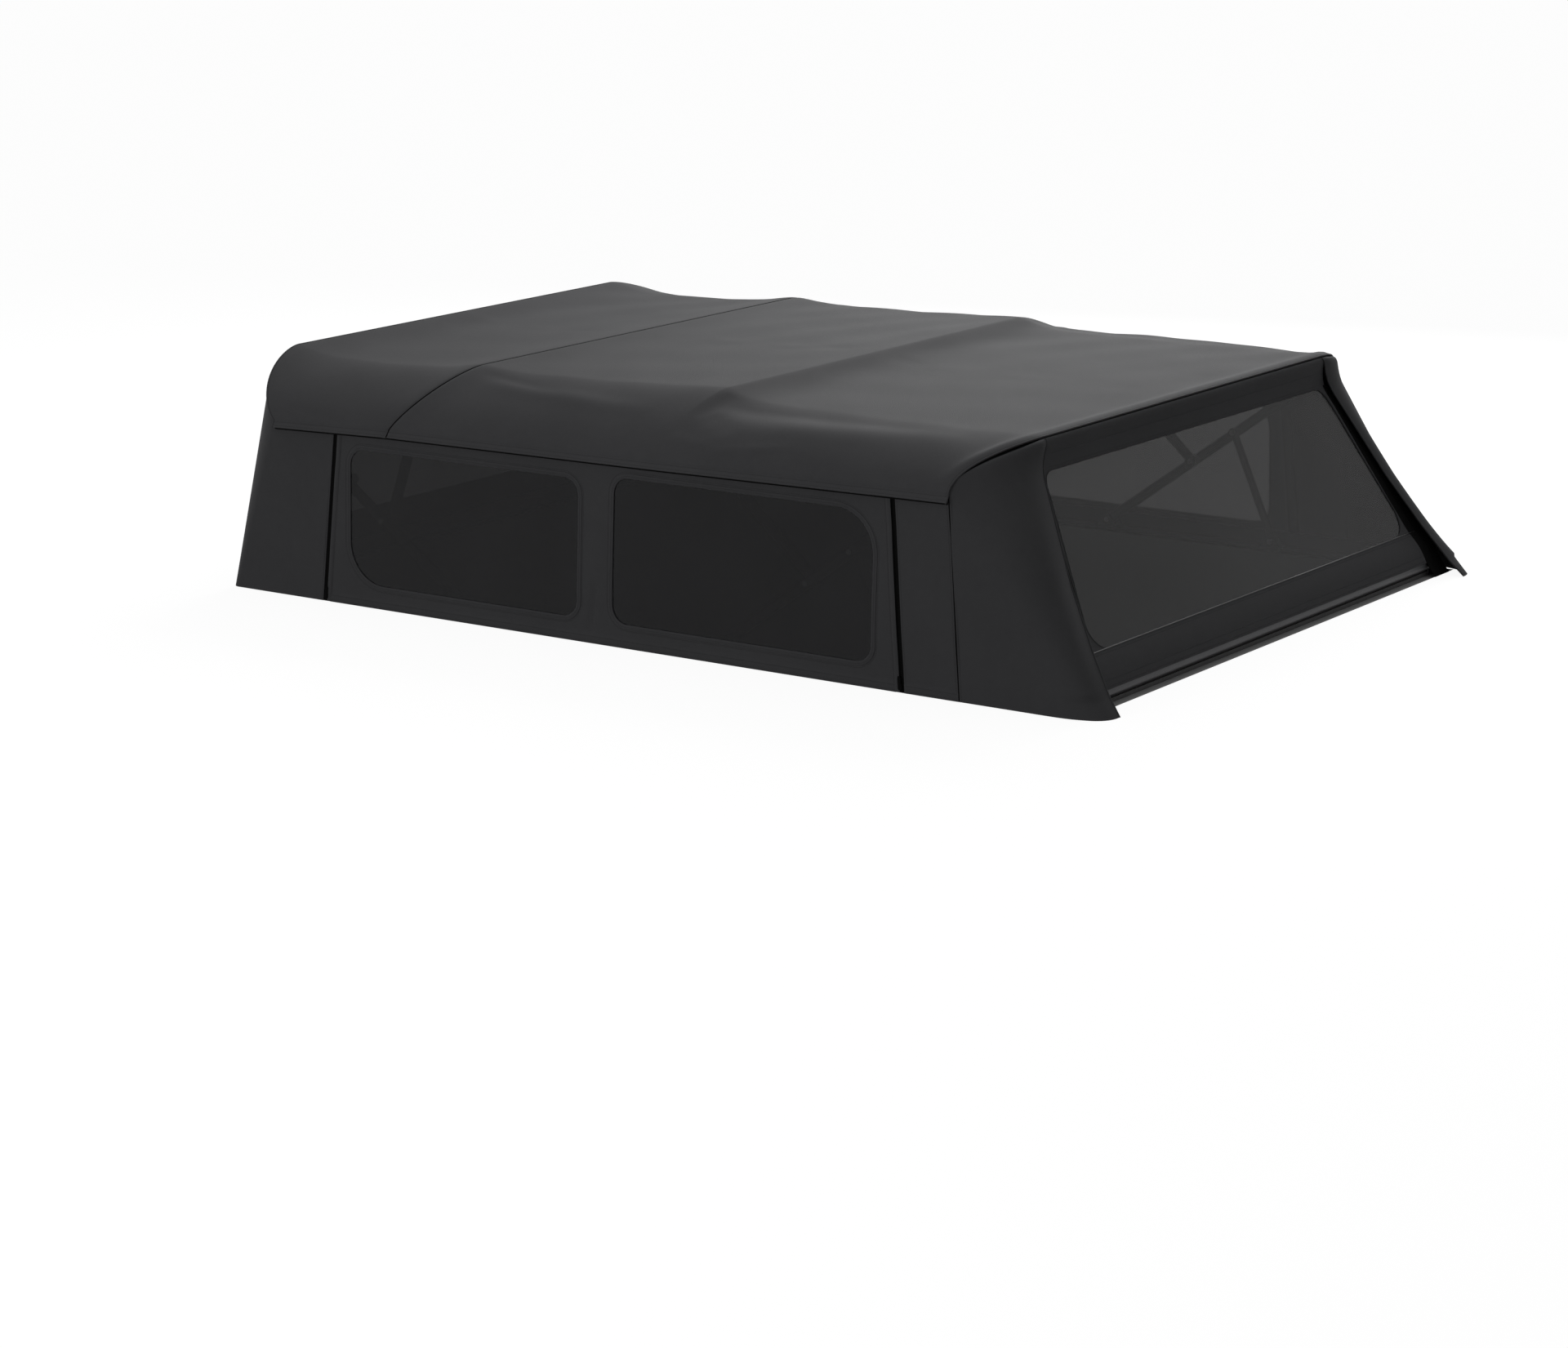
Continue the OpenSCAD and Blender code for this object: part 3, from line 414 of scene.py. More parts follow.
def woven(name, shade, weave_bump=0.5):
    made = Finish(name, Sheen_Weight=0.02, Sheen_Roughness=0.5, Specular_IOR_Level=0.07)
    clouds = made.noise(3.2, 4, 0.6)
    mottle = made.noise(38, 3, 0.6)
    grain = made.noise(900, 2, 0.6)
    twill = made.node("ShaderNodeTexWave", {"wave_type": "BANDS", "bands_direction": "DIAGONAL"},
                      {"Vector": made.place(), "Scale": 260, "Distortion": 1.2, "Detail": 1, "Detail Scale": 2})
    tone = clouds * 0.5 + mottle * 0.25 + grain * 0.25
    made.set("Base Color", made.blend(tone, [0.72 * c for c in shade] + [1], [1.28 * c for c in shade] + [1]))
    made.set("Roughness", grain * 0.16 + mottle * 0.08 + 0.62)
    made.bump(twill * 0.6 + grain * 0.4, 0.0005, weave_bump)
    return made.material


TWILL_SHADE = (0.062, 0.062, 0.065)
deck_twill = woven("deck_twill", TWILL_SHADE)

lines = []
for bay in range(3):
    turns = np.linspace(0, math.pi, BAY_ROWS + 1)
    lines += [deck_line(bay, t) for t in ((1 - np.cos(turns)) / 2)[:None if bay == 2 else -1]]
deck_left = np.array(lines)
rows, half_cols = deck_left.shape[:2]
deck_faces = quads(rows, half_cols)
flat_left = deck_left.reshape(-1, 3)
deck_normals = point_normals(flat_left, deck_faces)
if deck_normals[half_cols - 2][2] < 0:
    deck_faces = deck_faces[:, ::-1]
    deck_normals = -deck_normals
x, y, z = flat_left.T
wrinkle = folds(x, y, DECK_FOLDS)
ripple = 0.0011 * np.sin(9 * x + 14 * y) * np.sin(17 * x - 6 * y + 1.3) + 0.0007 * np.sin(31 * x + 21 * y * y)
on_bow = np.min([np.abs(x - BOWS[k][1] - (BOWS[k][0] - BOWS[k][1]) * smooth(z, BOWS[k][4], BOWS[k][3]))
                 for k in range(4)], 0)
seam_groove = -0.0024 * np.exp(-(np.abs(x - BOWS[1][1] - (BOWS[1][0] - BOWS[1][1])
                                        * (z - BOWS[1][4]) / (BOWS[1][3] - BOWS[1][4])) / 0.004) ** 2)
calm = smooth(on_bow, 0, 0.08) * smooth(y, 0.0, 0.05) * smooth(z, 0.425, 0.450)
before_end = x - np.tile(deck_left[-1, :, 0], rows)
crest = 0.0055 * np.exp(-((before_end - 0.020) / 0.017) ** 2) * smooth(z, 0.45, 0.53)
lift = wrinkle * smooth(z, 0.418, 0.440) + ripple * calm + crest + seam_groove
flat_left = flat_left + deck_normals * lift[:, None]
deck_left = flat_left.reshape(rows, half_cols, 3)
deck_right = deck_left[:, -2::-1] * [1, -1, 1]
deck_grid = np.concatenate([deck_left, deck_right], 1)
deck_points = deck_grid.reshape(-1, 3)
deck_faces = quads(rows, deck_grid.shape[1])
if point_normals(deck_points, deck_faces)[half_cols - 1][2] < 0:
    deck_faces = deck_faces[:, ::-1]
cloth("deck_cover", deck_points, deck_faces, FABRIC, deck_twill, "deck_twill", (2.22, 2.16),
      ["front_bow", "second_bow", "third_bow", "rear_bow"], ["deck_front", "deck_rear"])


# Side curtains: two coats of the same twill, zipped to the corners and the quarters, beaded into
# the belt rails at the hem and cut out for two windows each.
WALL_ANGLE = math.atan(WALL_LEAN)
HEM_LIFT = 0.001
HEM_BAND = 0.020
CELL = 0.009
ZIP_WIDTH = 0.022
ZIP_SLANT = 0.038
FRONT_ZIP_X = 0.893
REAR_ZIP_X = -0.743
WINDOW_LOW = 0.052
WINDOW_CORNER = 0.045
WINDOW_BIG_CORNER = 0.105
FRONT_WINDOW = (0.135, 0.820, WINDOW_LOW, 0.383,
                (WINDOW_CORNER, WINDOW_BIG_CORNER, WINDOW_CORNER, WINDOW_CORNER))
REAR_WINDOW = (-0.670, 0.043, WINDOW_LOW, 0.398,
               (WINDOW_CORNER, WINDOW_CORNER, WINDOW_CORNER, WINDOW_BIG_CORNER))
# Folds of the side wall: two ends in x and height, width and height of the fold
WALL_FOLDS = (
    ((0.105, 0.012), (0.085, 0.15), 0.007, -0.0045),
    ((0.10, 0.03), (0.09, 0.36), 0.030, 0.0020),
    ((-0.69, 0.06), (-0.70, 0.36), 0.020, 0.0015),
    ((0.84, 0.05), (0.85, 0.35), 0.020, 0.0015))


def edge_height(x):
    return np.interp(x, BOWS[::-1, 1], BOWS[::-1, 4])


def wall_top(x):
    return edge_height(x) - FABRIC - SEAT_GAP


def billow(x, s):
    """Slack of the left wall at a place along it and a height up it."""
    free = smooth(s, 0.045, 0.14) * (1 - smooth(s, 0.36, 0.415))
    wave = 0.0016 * np.sin(7.3 * x + 0.8) * np.sin(11 * s + 0.5) + 0.0008 * np.sin(19 * x + 9 * s)
    return free * wave + folds(np.asarray(x, float), np.asarray(s, float), WALL_FOLDS) * smooth(s, 0.0, 0.05)


def on_wall(x, s, out=0.0):
    """Point of the left wall: place along it, height up it, and distance out from its face."""
    x, s, out = np.broadcast_arrays(np.asarray(x, float), np.asarray(s, float), np.asarray(out, float))
    out = out + billow(x, s)
    return np.stack([x, HALF_WIDTH - s * math.sin(WALL_ANGLE) + out * math.cos(WALL_ANGLE),
                     s * math.cos(WALL_ANGLE) + out * math.sin(WALL_ANGLE)], -1)


def window_outline(x0, x1, s0, s1, radii, inset=0.0, arc=10, straight=40):
    """Rounded rectangle, anticlockwise from its lower left corner."""
    centres = [(x0, s0, 1, 1, 180), (x1, s0, -1, 1, 270), (x1, s1, -1, -1, 0), (x0, s1, 1, -1, 90)]
    corners = []
    for (cx, cs, sx, ss, turn), radius in zip(centres, radii):
        a = np.radians(turn + np.linspace(0, 90, arc + 1))
        r = radius - inset
        corners.append(np.stack([cx + sx * radius + r * np.cos(a), cs + ss * radius + r * np.sin(a)], 1))
    path = []
    for k in range(4):
        path.append(corners[k])
        start, end = corners[k][-1], corners[(k + 1) % 4][0]
        share = np.linspace(0, 1, straight + 1)[1:-1, None]
        path.append(start + (end - start) * share)
    return np.concatenate(path)


def nearest_on(outline, points):
    """Nearest point of a closed outline, and whether each point is inside it."""
    after = np.roll(outline, -1, 0)
    along = after - outline
    offset = points[:, None] - outline[None]
    share = np.clip((offset * along).sum(-1) / np.maximum((along * along).sum(-1), 1e-12), 0, 1)
    near = outline + share[..., None] * along
    pick = np.linalg.norm(points[:, None] - near, axis=-1).argmin(1)
    over = (outline[:, 1] > points[:, None, 1]) != (after[:, 1] > points[:, None, 1])
    rise = np.where(np.abs(along[:, 1]) < 1e-12, 1e-12, along[:, 1])
    cross_x = outline[:, 0] + (points[:, None, 1] - outline[:, 1]) * along[:, 0] / rise
    inside = (over & (points[:, None, 0] < cross_x)).sum(1) % 2 == 1
    return near[np.arange(len(points)), pick], inside


def cut_grid(flat_points, faces, outline, keep_inside):
    """Drops a flat grid's cells on one side of an outline, and draws the cut edge on to it."""
    middles = flat_points[faces].mean(1)
    inside = nearest_on(outline, middles)[1]
    faces = faces[inside == keep_inside]
    near, within = nearest_on(outline, flat_points)
    count = len(flat_points)
    edges = np.concatenate([faces[:, [k, (k + 1) % 4]] for k in range(4)])
    rim = edges[~np.isin(edges[:, 0] * count + edges[:, 1], edges[:, 1] * count + edges[:, 0])]
    touched = np.zeros(count, bool)
    touched[rim.ravel()] = True
    close = np.linalg.norm(near - flat_points, axis=1) < 1.2 * CELL
    move = (touched & close) | ((within != keep_inside) & close)
    return np.where(move[:, None], near, flat_points), faces


def slanted(x, share):
    return x - np.sign(x) * ZIP_SLANT * share


def wall_grid(front, rear):
    """Flat grid between two slanted lines, each as x at the hem and at the deck."""
    steps = max(int(abs(front[0] - rear[0]) / CELL), 4)
    share = np.linspace(0, 1, steps + 1)
    heights = np.linspace(0, 1, 48)
    up = np.concatenate([[0, 0.5, 0.97, 1.03], np.full(0, 0.0)])
    top_x = rear[1] + (front[1] - rear[1]) * share
    top = wall_top(top_x)
    rows = [HEM_LIFT + u * (HEM_BAND - HEM_LIFT) + 0 * top for u in up]
    rows += [rows[3] + (top - rows[3]) * h for h in heights[1:]]
    grid = []
    for s in rows:
        v = s / top
        line_front = front[0] + (front[1] - front[0]) * v
        line_rear = rear[0] + (rear[1] - rear[0]) * v
        grid.append(np.stack([line_rear + (line_front - line_rear) * share, s], -1))
    return np.array(grid)


def hem_step(s):
    return 0.0007 * (1 - smooth(s, HEM_BAND - 0.0008, HEM_BAND + 0.0008))


def mirrored(points, faces, left):
    return (points, faces) if left else (points * [1, -1, 1], faces[:, ::-1])


def towards(points, faces, direction):
    """Faces turned so that they look along a direction."""
    return faces if face_turns(points, faces).sum(0).dot(direction) > 0 else faces[:, ::-1]


# This twill is the deck's twill painted 8% darker: painted shade meant for the upright walls; it also dresses the
# panels, corners, bindings and cords.
wall_twill = woven("wall_twill", [0.92 * c for c in TWILL_SHADE])
zip_half = ZIP_WIDTH / 2
front_line = (FRONT_ZIP_X - zip_half, FRONT_ZIP_X - ZIP_SLANT - zip_half)
rear_line = (REAR_ZIP_X + zip_half, REAR_ZIP_X + ZIP_SLANT + zip_half)
curtain_grid = wall_grid(front_line, rear_line)
curtain_flat = curtain_grid.reshape(-1, 2)
curtain_faces = quads(*curtain_grid.shape[:2])
for window in (FRONT_WINDOW, REAR_WINDOW):
    curtain_flat, curtain_faces = cut_grid(curtain_flat, curtain_faces, window_outline(*window), False)
curtain_points = on_wall(curtain_flat[:, 0], curtain_flat[:, 1], hem_step(curtain_flat[:, 1]))
curtain_faces = towards(curtain_points, curtain_faces, (0, 1, 0))
for left, tag in ((True, "left"), (False, "right")):
    cloth("side_cloth_" + tag, *mirrored(curtain_points, curtain_faces, left), FABRIC, wall_twill, "wall_twill",
          (1.62, 0.45), ["belt_rail_" + tag], ["side_curtain_" + tag])


# Side windows: dark tinted vinyl, welded behind the cut-outs, with a folded binding of twill
# round each that stands a little proud.
BINDING_PROFILE = ((-0.0045, 0.0000), (-0.0045, 0.0012), (-0.0015, 0.0022), (0.0035, 0.0022),
                   (0.0065, 0.0014), (0.0072, 0.0000), (0.0072, -0.0006), (-0.0045, -0.0006))
PANE = 0.001
PANE_DEPTH = 0.0012


def tinted(name, alpha, shade=(0.010, 0.010, 0.011)):
    made = Finish(name, Alpha=alpha, Specular_IOR_Level=0.18)
    film = made.noise(5, 3, 0.55)
    haze = made.noise(60, 4, 0.6)
    made.set("Base Color", made.blend(film, list(shade) + [1], [2.0 * c for c in shade] + [1]))
    made.set("Roughness", film * 0.12 + haze * 0.08 + 0.08)
    made.bump(film, 0.002, 0.4)
    return made.material


side_vinyl = tinted("side_vinyl", 0.74)
rear_vinyl = tinted("rear_vinyl", 0.50, (0.030, 0.030, 0.031))


def binding(window, profile):
    rings = [window_outline(*window, inset=-offset) for offset, _ in profile]
    points = np.concatenate([on_wall(ring[:, 0], ring[:, 1], height) for ring, (_, height) in zip(rings, profile)])
    count = len(rings[0])
    at = np.arange(len(profile) * count).reshape(len(profile), count)
    at = np.concatenate([at, at[:1]])
    at = np.concatenate([at, at[:, :1]], 1)
    faces = np.stack([at[:-1, :-1], at[:-1, 1:], at[1:, 1:], at[1:, :-1]], -1).reshape(-1, 4)
    return points, faces


def outward_shell(points, faces):
    """Closed shell's faces, turned so that its volume counts as positive."""
    a, b, c, d = (points[faces[:, k]] for k in range(4))
    volume = (np.cross(a, b) * c).sum() + (np.cross(a, c) * d).sum()
    return faces if volume > 0 else faces[:, ::-1]


for left, tag in ((True, "left"), (False, "right")):
    for window, place in ((FRONT_WINDOW, "front"), (REAR_WINDOW, "rear")):
        outline = window_outline(*window)
        x0, x1, s0, s1 = window[:4]
        nx, ns = int((x1 - x0) / CELL), int((s1 - s0) / CELL)
        xs, ss = np.meshgrid(np.linspace(x0, x1, nx), np.linspace(s0, s1, ns))
        pane_flat = np.stack([xs.ravel(), ss.ravel()], 1)
        pane_flat, pane_faces = cut_grid(pane_flat, quads(ns, nx), outline, True)
        pane_points = on_wall(pane_flat[:, 0], pane_flat[:, 1], -PANE_DEPTH)
        pane_faces = towards(pane_points, pane_faces, (0, 1, 0))
        cloth(f"side_pane_{place}_{tag}", *mirrored(pane_points, pane_faces, left), PANE, side_vinyl,
              "window_vinyl", (x1 - x0, s1 - s0), ["side_cloth_" + tag], [f"side_window_{place}_{tag}"])
        ring_points, ring_faces = binding(window, BINDING_PROFILE)
        ring_points, ring_faces = mirrored(ring_points, ring_faces, left)
        make_piece(f"window_binding_{place}_{tag}", ring_points, outward_shell(ring_points, ring_faces),
                   wall_twill)


# Rear quarters: plain twill between the rear zip and the quarter seam, left on the truck when the
# curtain comes off.
QUARTER_X = -0.894
REAR_CORNER_X = -0.854
quarter_grid = wall_grid((REAR_ZIP_X - zip_half, REAR_ZIP_X + ZIP_SLANT - zip_half), (QUARTER_X, REAR_CORNER_X))
quarter_points = on_wall(quarter_grid[..., 0].ravel(), quarter_grid[..., 1].ravel(), hem_step(quarter_grid[..., 1].ravel()))
quarter_faces = towards(quarter_points, quads(*quarter_grid.shape[:2]), (0, 1, 0))
for left, tag in ((True, "left"), (False, "right")):
    cloth("rear_quarter_cloth_" + tag, *mirrored(quarter_points, quarter_faces, left), FABRIC, wall_twill,
          "wall_twill", (0.16, 0.46), ["belt_rail_" + tag], ["rear_quarter_" + tag])


# Side zips: black woven tapes with a moulded coil down the middle and a slider at the hem, one at
# each end of the side curtain.
TAPE = 0.0008
zip_shade = Finish("zip_tape", Specular_IOR_Level=0.02)
tape_weave = zip_shade.noise(700, 2, 0.5)
zip_shade.set("Base Color", zip_shade.blend(tape_weave, (0.003, 0.003, 0.003, 1), (0.007, 0.007, 0.007, 1)))
zip_shade.set("Roughness", tape_weave * 0.2 + 0.7)
zip_shade.bump(tape_weave, 0.0003, 0.5)


def tape_grid(x_zip, widths):
    heights = np.linspace(0, 1, 41)
    lines = []
    for w in widths:
        top_x = x_zip - np.sign(x_zip) * ZIP_SLANT + w
        s = HEM_LIFT + (wall_top(top_x) - HEM_LIFT) * heights
        lines.append(np.stack([x_zip + w - np.sign(x_zip) * ZIP_SLANT * heights, s], -1))
    return np.array(lines)


for left, tag in ((True, "left"), (False, "right")):
    both_points, both_faces = [], []
    for x_zip in (FRONT_ZIP_X, REAR_ZIP_X):
        grid = tape_grid(x_zip, np.array([-1.3, -0.5, 0, 0.5, 1.3]) * zip_half)
        points = on_wall(grid[..., 0].ravel(), grid[..., 1].ravel(), -0.0026)
        faces = towards(points, quads(*grid.shape[:2]), (0, 1, 0))
        both_faces.append(faces + sum(len(p) for p in both_points))
        both_points.append(points)
    cloth("side_zip_tapes_" + tag, *mirrored(np.concatenate(both_points), np.concatenate(both_faces), left), TAPE,
          zip_shade.material, "zip_tape", (0.06, 0.46), ["side_cloth_" + tag], ["side_zips_" + tag])


# Front corners: twill from the front zip round to the front panel, ruled from the hem up to the
# end slope of the deck.
FRONT_HEM_X = 1.197
FRONT_NOSE = 0.024
CORNER_LIFT = FABRIC + 2 * SEAT_GAP
CORNER_ROWS = 40


def inner_shoulder(row, turn, depth):
    """Point sunk below the shoulder, square to the bow's section."""
    width = wall_y(row[4]) + SEAT_GAP + FABRIC - row[2]
    out = np.sin(np.radians(turn)) ** (2 / row[5])
    up = np.cos(np.radians(turn)) ** (2 / row[5])
    normal = np.array([0, out ** (row[5] - 1) / width, up ** (row[5] - 1) / (row[3] - row[4])])
    return shoulder(row, turn) - depth * normal / np.linalg.norm(normal)


low, high = [], []
for share in np.linspace(0, 1, 17)[:-1]:
    start = FRONT_ZIP_X + zip_half
    x_low = start + (FRONT_HEM_X - FRONT_NOSE - start) * share
    x_high = start - ZIP_SLANT + (BOWS[0][1] - start + ZIP_SLANT) * share
    low.append((x_low, wall_y(HEM_LIFT), HEM_LIFT))
    high.append((x_high, wall_y(wall_top(x_high)), wall_top(x_high)))
for turn in np.linspace(0, 90, 33):
    a = math.radians(turn)
    low.append((FRONT_HEM_X - FRONT_NOSE + FRONT_NOSE * math.sin(a),
                wall_y(HEM_LIFT) - FRONT_NOSE + FRONT_NOSE * math.cos(a), HEM_LIFT))
    high.append(inner_shoulder(BOWS[0], 90 - turn, CORNER_LIFT))
low, high = np.array(low), np.array(high)
corner_grid = np.array([low + (high - low) * share for share in np.linspace(0, 1, CORNER_ROWS + 1)])
corner_points = corner_grid.reshape(-1, 3)
corner_faces = towards(corner_points, quads(*corner_grid.shape[:2]), (0.3, 1, 0))
for left, tag in ((True, "left"), (False, "right")):
    cloth("front_corner_cloth_" + tag, *mirrored(corner_points, corner_faces, left), FABRIC, wall_twill,
          "wall_twill", (0.5, 0.62), ["front_bow", "belt_rail_" + tag], ["front_corner_" + tag])


# Rear corners: twill that stands upright on the rail, then leans in to the end slope of the deck.
# Its rear edge carries a storm flap over the zip of the rear curtain.
REAR_HEM_X = -1.194
HEADER_X = -0.934
HEADER_LOW = 0.472
REAR_TOP = 0.545
SEAM_LOW = 0.850
SEAM_TOP = 0.655
CORNER_ROUND = 0.216
SQUARENESS = 0.8
RAIL_TOP = 0.046
FLAP_STAND = 0.014
ROLL_OUT = 0.009
ROLL_DEPTH = 0.013
# Slack of the left and the right corner, drawn in between the rail and the bow
HOLLOWS = (-0.010, 0.036)
# How much further the flap stands off low down: height and distance
FLAP_FLARE_OUT = ((0.0, 0.040), (0.04, 0.026), (0.13, 0.011), (0.25, 0.0), (0.55, 0.0))


def roll(depth):
    """How far cloth stands out over the tube of the rear bow, at a depth below the deck's end."""
    depth = np.maximum(depth, 0) / ROLL_DEPTH
    return ROLL_OUT * depth * np.exp(1 - depth)


def rear_x(z):
    """Face of the rear curtain: an upright header below the rear bow, then one slope to the hem."""
    z = np.asarray(z, float)
    slope = (HEADER_X - REAR_HEM_X) / HEADER_LOW
    bend = 0.003
    return -np.logaddexp(-(REAR_HEM_X + slope * z) / bend, -HEADER_X / bend) * bend - roll(REAR_TOP - z)


def seam_y(z):
    return SEAM_LOW + (SEAM_TOP - SEAM_LOW) * np.asarray(z, float) / REAR_TOP


def flap_x(z):
    """Edge of the storm flap, which stands off the curtain and runs in to the deck's end."""
    z = np.asarray(z, float)
    fade = np.clip((REAR_TOP - CORNER_LIFT - z) / (REAR_TOP - HEADER_LOW - CORNER_LIFT), 0, 1)
    return rear_x(z) - FLAP_STAND * fade - np.interp(z, *zip(*FLAP_FLARE_OUT))


def corner_row(z, columns):
    lean = (REAR_CORNER_X - QUARTER_X) / BOWS[3][4]
    front_x = QUARTER_X + lean * z - 3 * SEAT_GAP
    turn_x = QUARTER_X - CORNER_ROUND
    row = []
    for share in np.linspace(0, 1, 9)[:-1]:
        row.append((front_x + (turn_x - front_x) * share, wall_y(z), z))
    for a in np.radians(np.linspace(0, 90, columns)):
        row.append((turn_x + (float(flap_x(z)) - turn_x) * math.sin(a) ** SQUARENESS,
                    seam_y(z) + (wall_y(z) - seam_y(z)) * math.cos(a) ** SQUARENESS if a < 1.57 else seam_y(z), z))
    return np.array(row, float)


CORNER_COLUMNS = 33
low = corner_row(RAIL_TOP, CORNER_COLUMNS)
share = np.concatenate([np.linspace(0, 0.18, 9)[:-1], np.linspace(0.18, 1, CORNER_COLUMNS)])
high = np.array([inner_shoulder(BOWS[3], 90 * (1 - s), CORNER_LIFT) for s in share])
pull = np.clip((share - 0.18) / 0.82, 0, 1) ** 2
fold = (HEADER_LOW - RAIL_TOP) / (REAR_TOP - CORNER_LIFT - RAIL_TOP)


def leaned(t):
    """Row between the foot and the deck, drawn out to the storm flap's edge."""
    row = low + (high - low) * t
    row[:, 0] += pull * (flap_x(row[:, 2]) - row[:, 0])
    return row


rows = [corner_row(z, CORNER_COLUMNS) for z in np.linspace(HEM_LIFT, RAIL_TOP, 7)[:-1]]
rows += [leaned(t) for t in np.concatenate([np.linspace(0, fold, 44)[:-1], np.linspace(fold, 1, 26)])]
corner_grid = np.array(rows)
corner_points = corner_grid.reshape(-1, 3)
corner_faces = towards(corner_points, quads(*corner_grid.shape[:2]), (-0.6, 1, 0))
below_end = np.linalg.norm(corner_grid - corner_grid[-1], axis=2).ravel()
up = ((corner_grid[..., 2] - RAIL_TOP) / (REAR_TOP - RAIL_TOP)).ravel().clip(0, 1)
round_turn = np.tile(np.clip((share - 0.18) / 0.82, 0, 1), len(rows))
hollow = 4 * up * (1 - up) * np.sin(math.pi * round_turn ** 0.75) ** 2
roll_share = 0.45 * smooth(round_turn, 0.15, 0.45) * (1 - smooth(round_turn, 0.9, 1))
corner_normals = point_normals(corner_points, corner_faces)
corner_sides = [corner_points + corner_normals * (roll(below_end) * roll_share - slack * hollow)[:, None]
                for slack in HOLLOWS]
for left, tag, side_points in ((True, "left", corner_sides[0]), (False, "right", corner_sides[1])):
    cloth("rear_corner_cloth_" + tag, *mirrored(side_points, corner_faces, left), FABRIC, wall_twill,
          "wall_twill", (0.55, 0.7), ["rear_bow", "belt_rail_" + tag], ["rear_corner_" + tag])


# Front panel: twill between the front shoulders, with a clear-cornered window so that the driver
# sees through the canopy.
FRONT_TOP = 0.557
FRONT_PANEL_LOW = 0.9005
FRONT_PANEL_TOP = 0.637
PANEL_WINDOW = (-0.560, 0.560, 0.110, 0.430, (WINDOW_CORNER,) * 4)


def on_front(y, s, out=0.0):
    angle = math.atan2(0.011, FRONT_TOP)
    y, s, out = np.broadcast_arrays(np.asarray(y, float), np.asarray(s, float), np.asarray(out, float))
    slack = 0.0015 * np.sin(6 * y + 1) * np.sin(9 * s) * smooth(s, 0.05, 0.15) * (1 - smooth(s, 0.42, 0.52))
    out = out + slack
    return np.stack([FRONT_HEM_X + s * math.sin(angle) + out * math.cos(angle), y,
                     s * math.cos(angle) - out * math.sin(angle)], -1)


def trapezoid(low_half, top_half, low_s, top_s, across=150, up=48):
    share = np.linspace(-1, 1, across)
    grid = []
    for s in np.linspace(low_s, top_s, up):
        half = low_half + (top_half - low_half) * (s - low_s) / (top_s - low_s)
        grid.append(np.stack([half * share, np.full(across, s)], -1))
    return np.array(grid)


front_grid = trapezoid(FRONT_PANEL_LOW, FRONT_PANEL_TOP, HEM_LIFT, FRONT_TOP - CORNER_LIFT)
front_flat, front_faces = cut_grid(front_grid.reshape(-1, 2), quads(*front_grid.shape[:2]),
                                   window_outline(*PANEL_WINDOW), False)
front_points = on_front(front_flat[:, 0], front_flat[:, 1])
cloth("front_cloth", front_points, towards(front_points, front_faces, (1, 0, 0)), FABRIC, wall_twill, "wall_twill",
      (1.82, 0.56), ["front_bow", "front_rail"], ["front_panel"])
ys, ss = np.meshgrid(np.linspace(-0.560, 0.560, 110), np.linspace(0.110, 0.430, 34))
pane_flat, pane_faces = cut_grid(np.stack([ys.ravel(), ss.ravel()], 1), quads(34, 110),
                                 window_outline(*PANEL_WINDOW), True)
pane_points = on_front(pane_flat[:, 0], pane_flat[:, 1], -PANE_DEPTH)
cloth("front_pane", pane_points, towards(pane_points, pane_faces, (1, 0, 0)), PANE, side_vinyl, "window_vinyl",
      (1.12, 0.32), ["front_cloth"], ["front_window"])


# Rear curtain: twill round one large window, zipped to the corners and lying on the tailgate bar.
REAR_WINDOW_LOW = 0.112
REAR_WINDOW_TOP = 0.466
REAR_WINDOW_CORNER = 0.045
REAR_CURTAIN_END = 0.036
REAR_WINDOW_SLANT = 0.276
MARGIN_LOW = 0.043
MARGIN_TOP = 0.028
TUCK = 0.004
BAND_BULGE = 0.005


def on_rear(y, z, out=0.0):
    y, z, out = np.broadcast_arrays(np.asarray(y, float), np.asarray(z, float), np.asarray(out, float))
    step = 0.0005
    rise = (rear_x(z + step) - rear_x(z - step)) / (2 * step)
    long = np.sqrt(1 + rise * rise)
    slack = 0.002 * np.sin(5 * y + 1) * np.sin(9 * z + 0.4) * smooth(z, 0.06, 0.15) * (1 - smooth(z, 0.40, 0.46))
    band = np.clip((z - REAR_CURTAIN_END) / (REAR_WINDOW_LOW - REAR_CURTAIN_END), 0, 1)
    out = out + slack + BAND_BULGE * np.sin(math.pi * band)
    return np.stack([rear_x(z) - out / long, y, z + out * rise / long], -1)


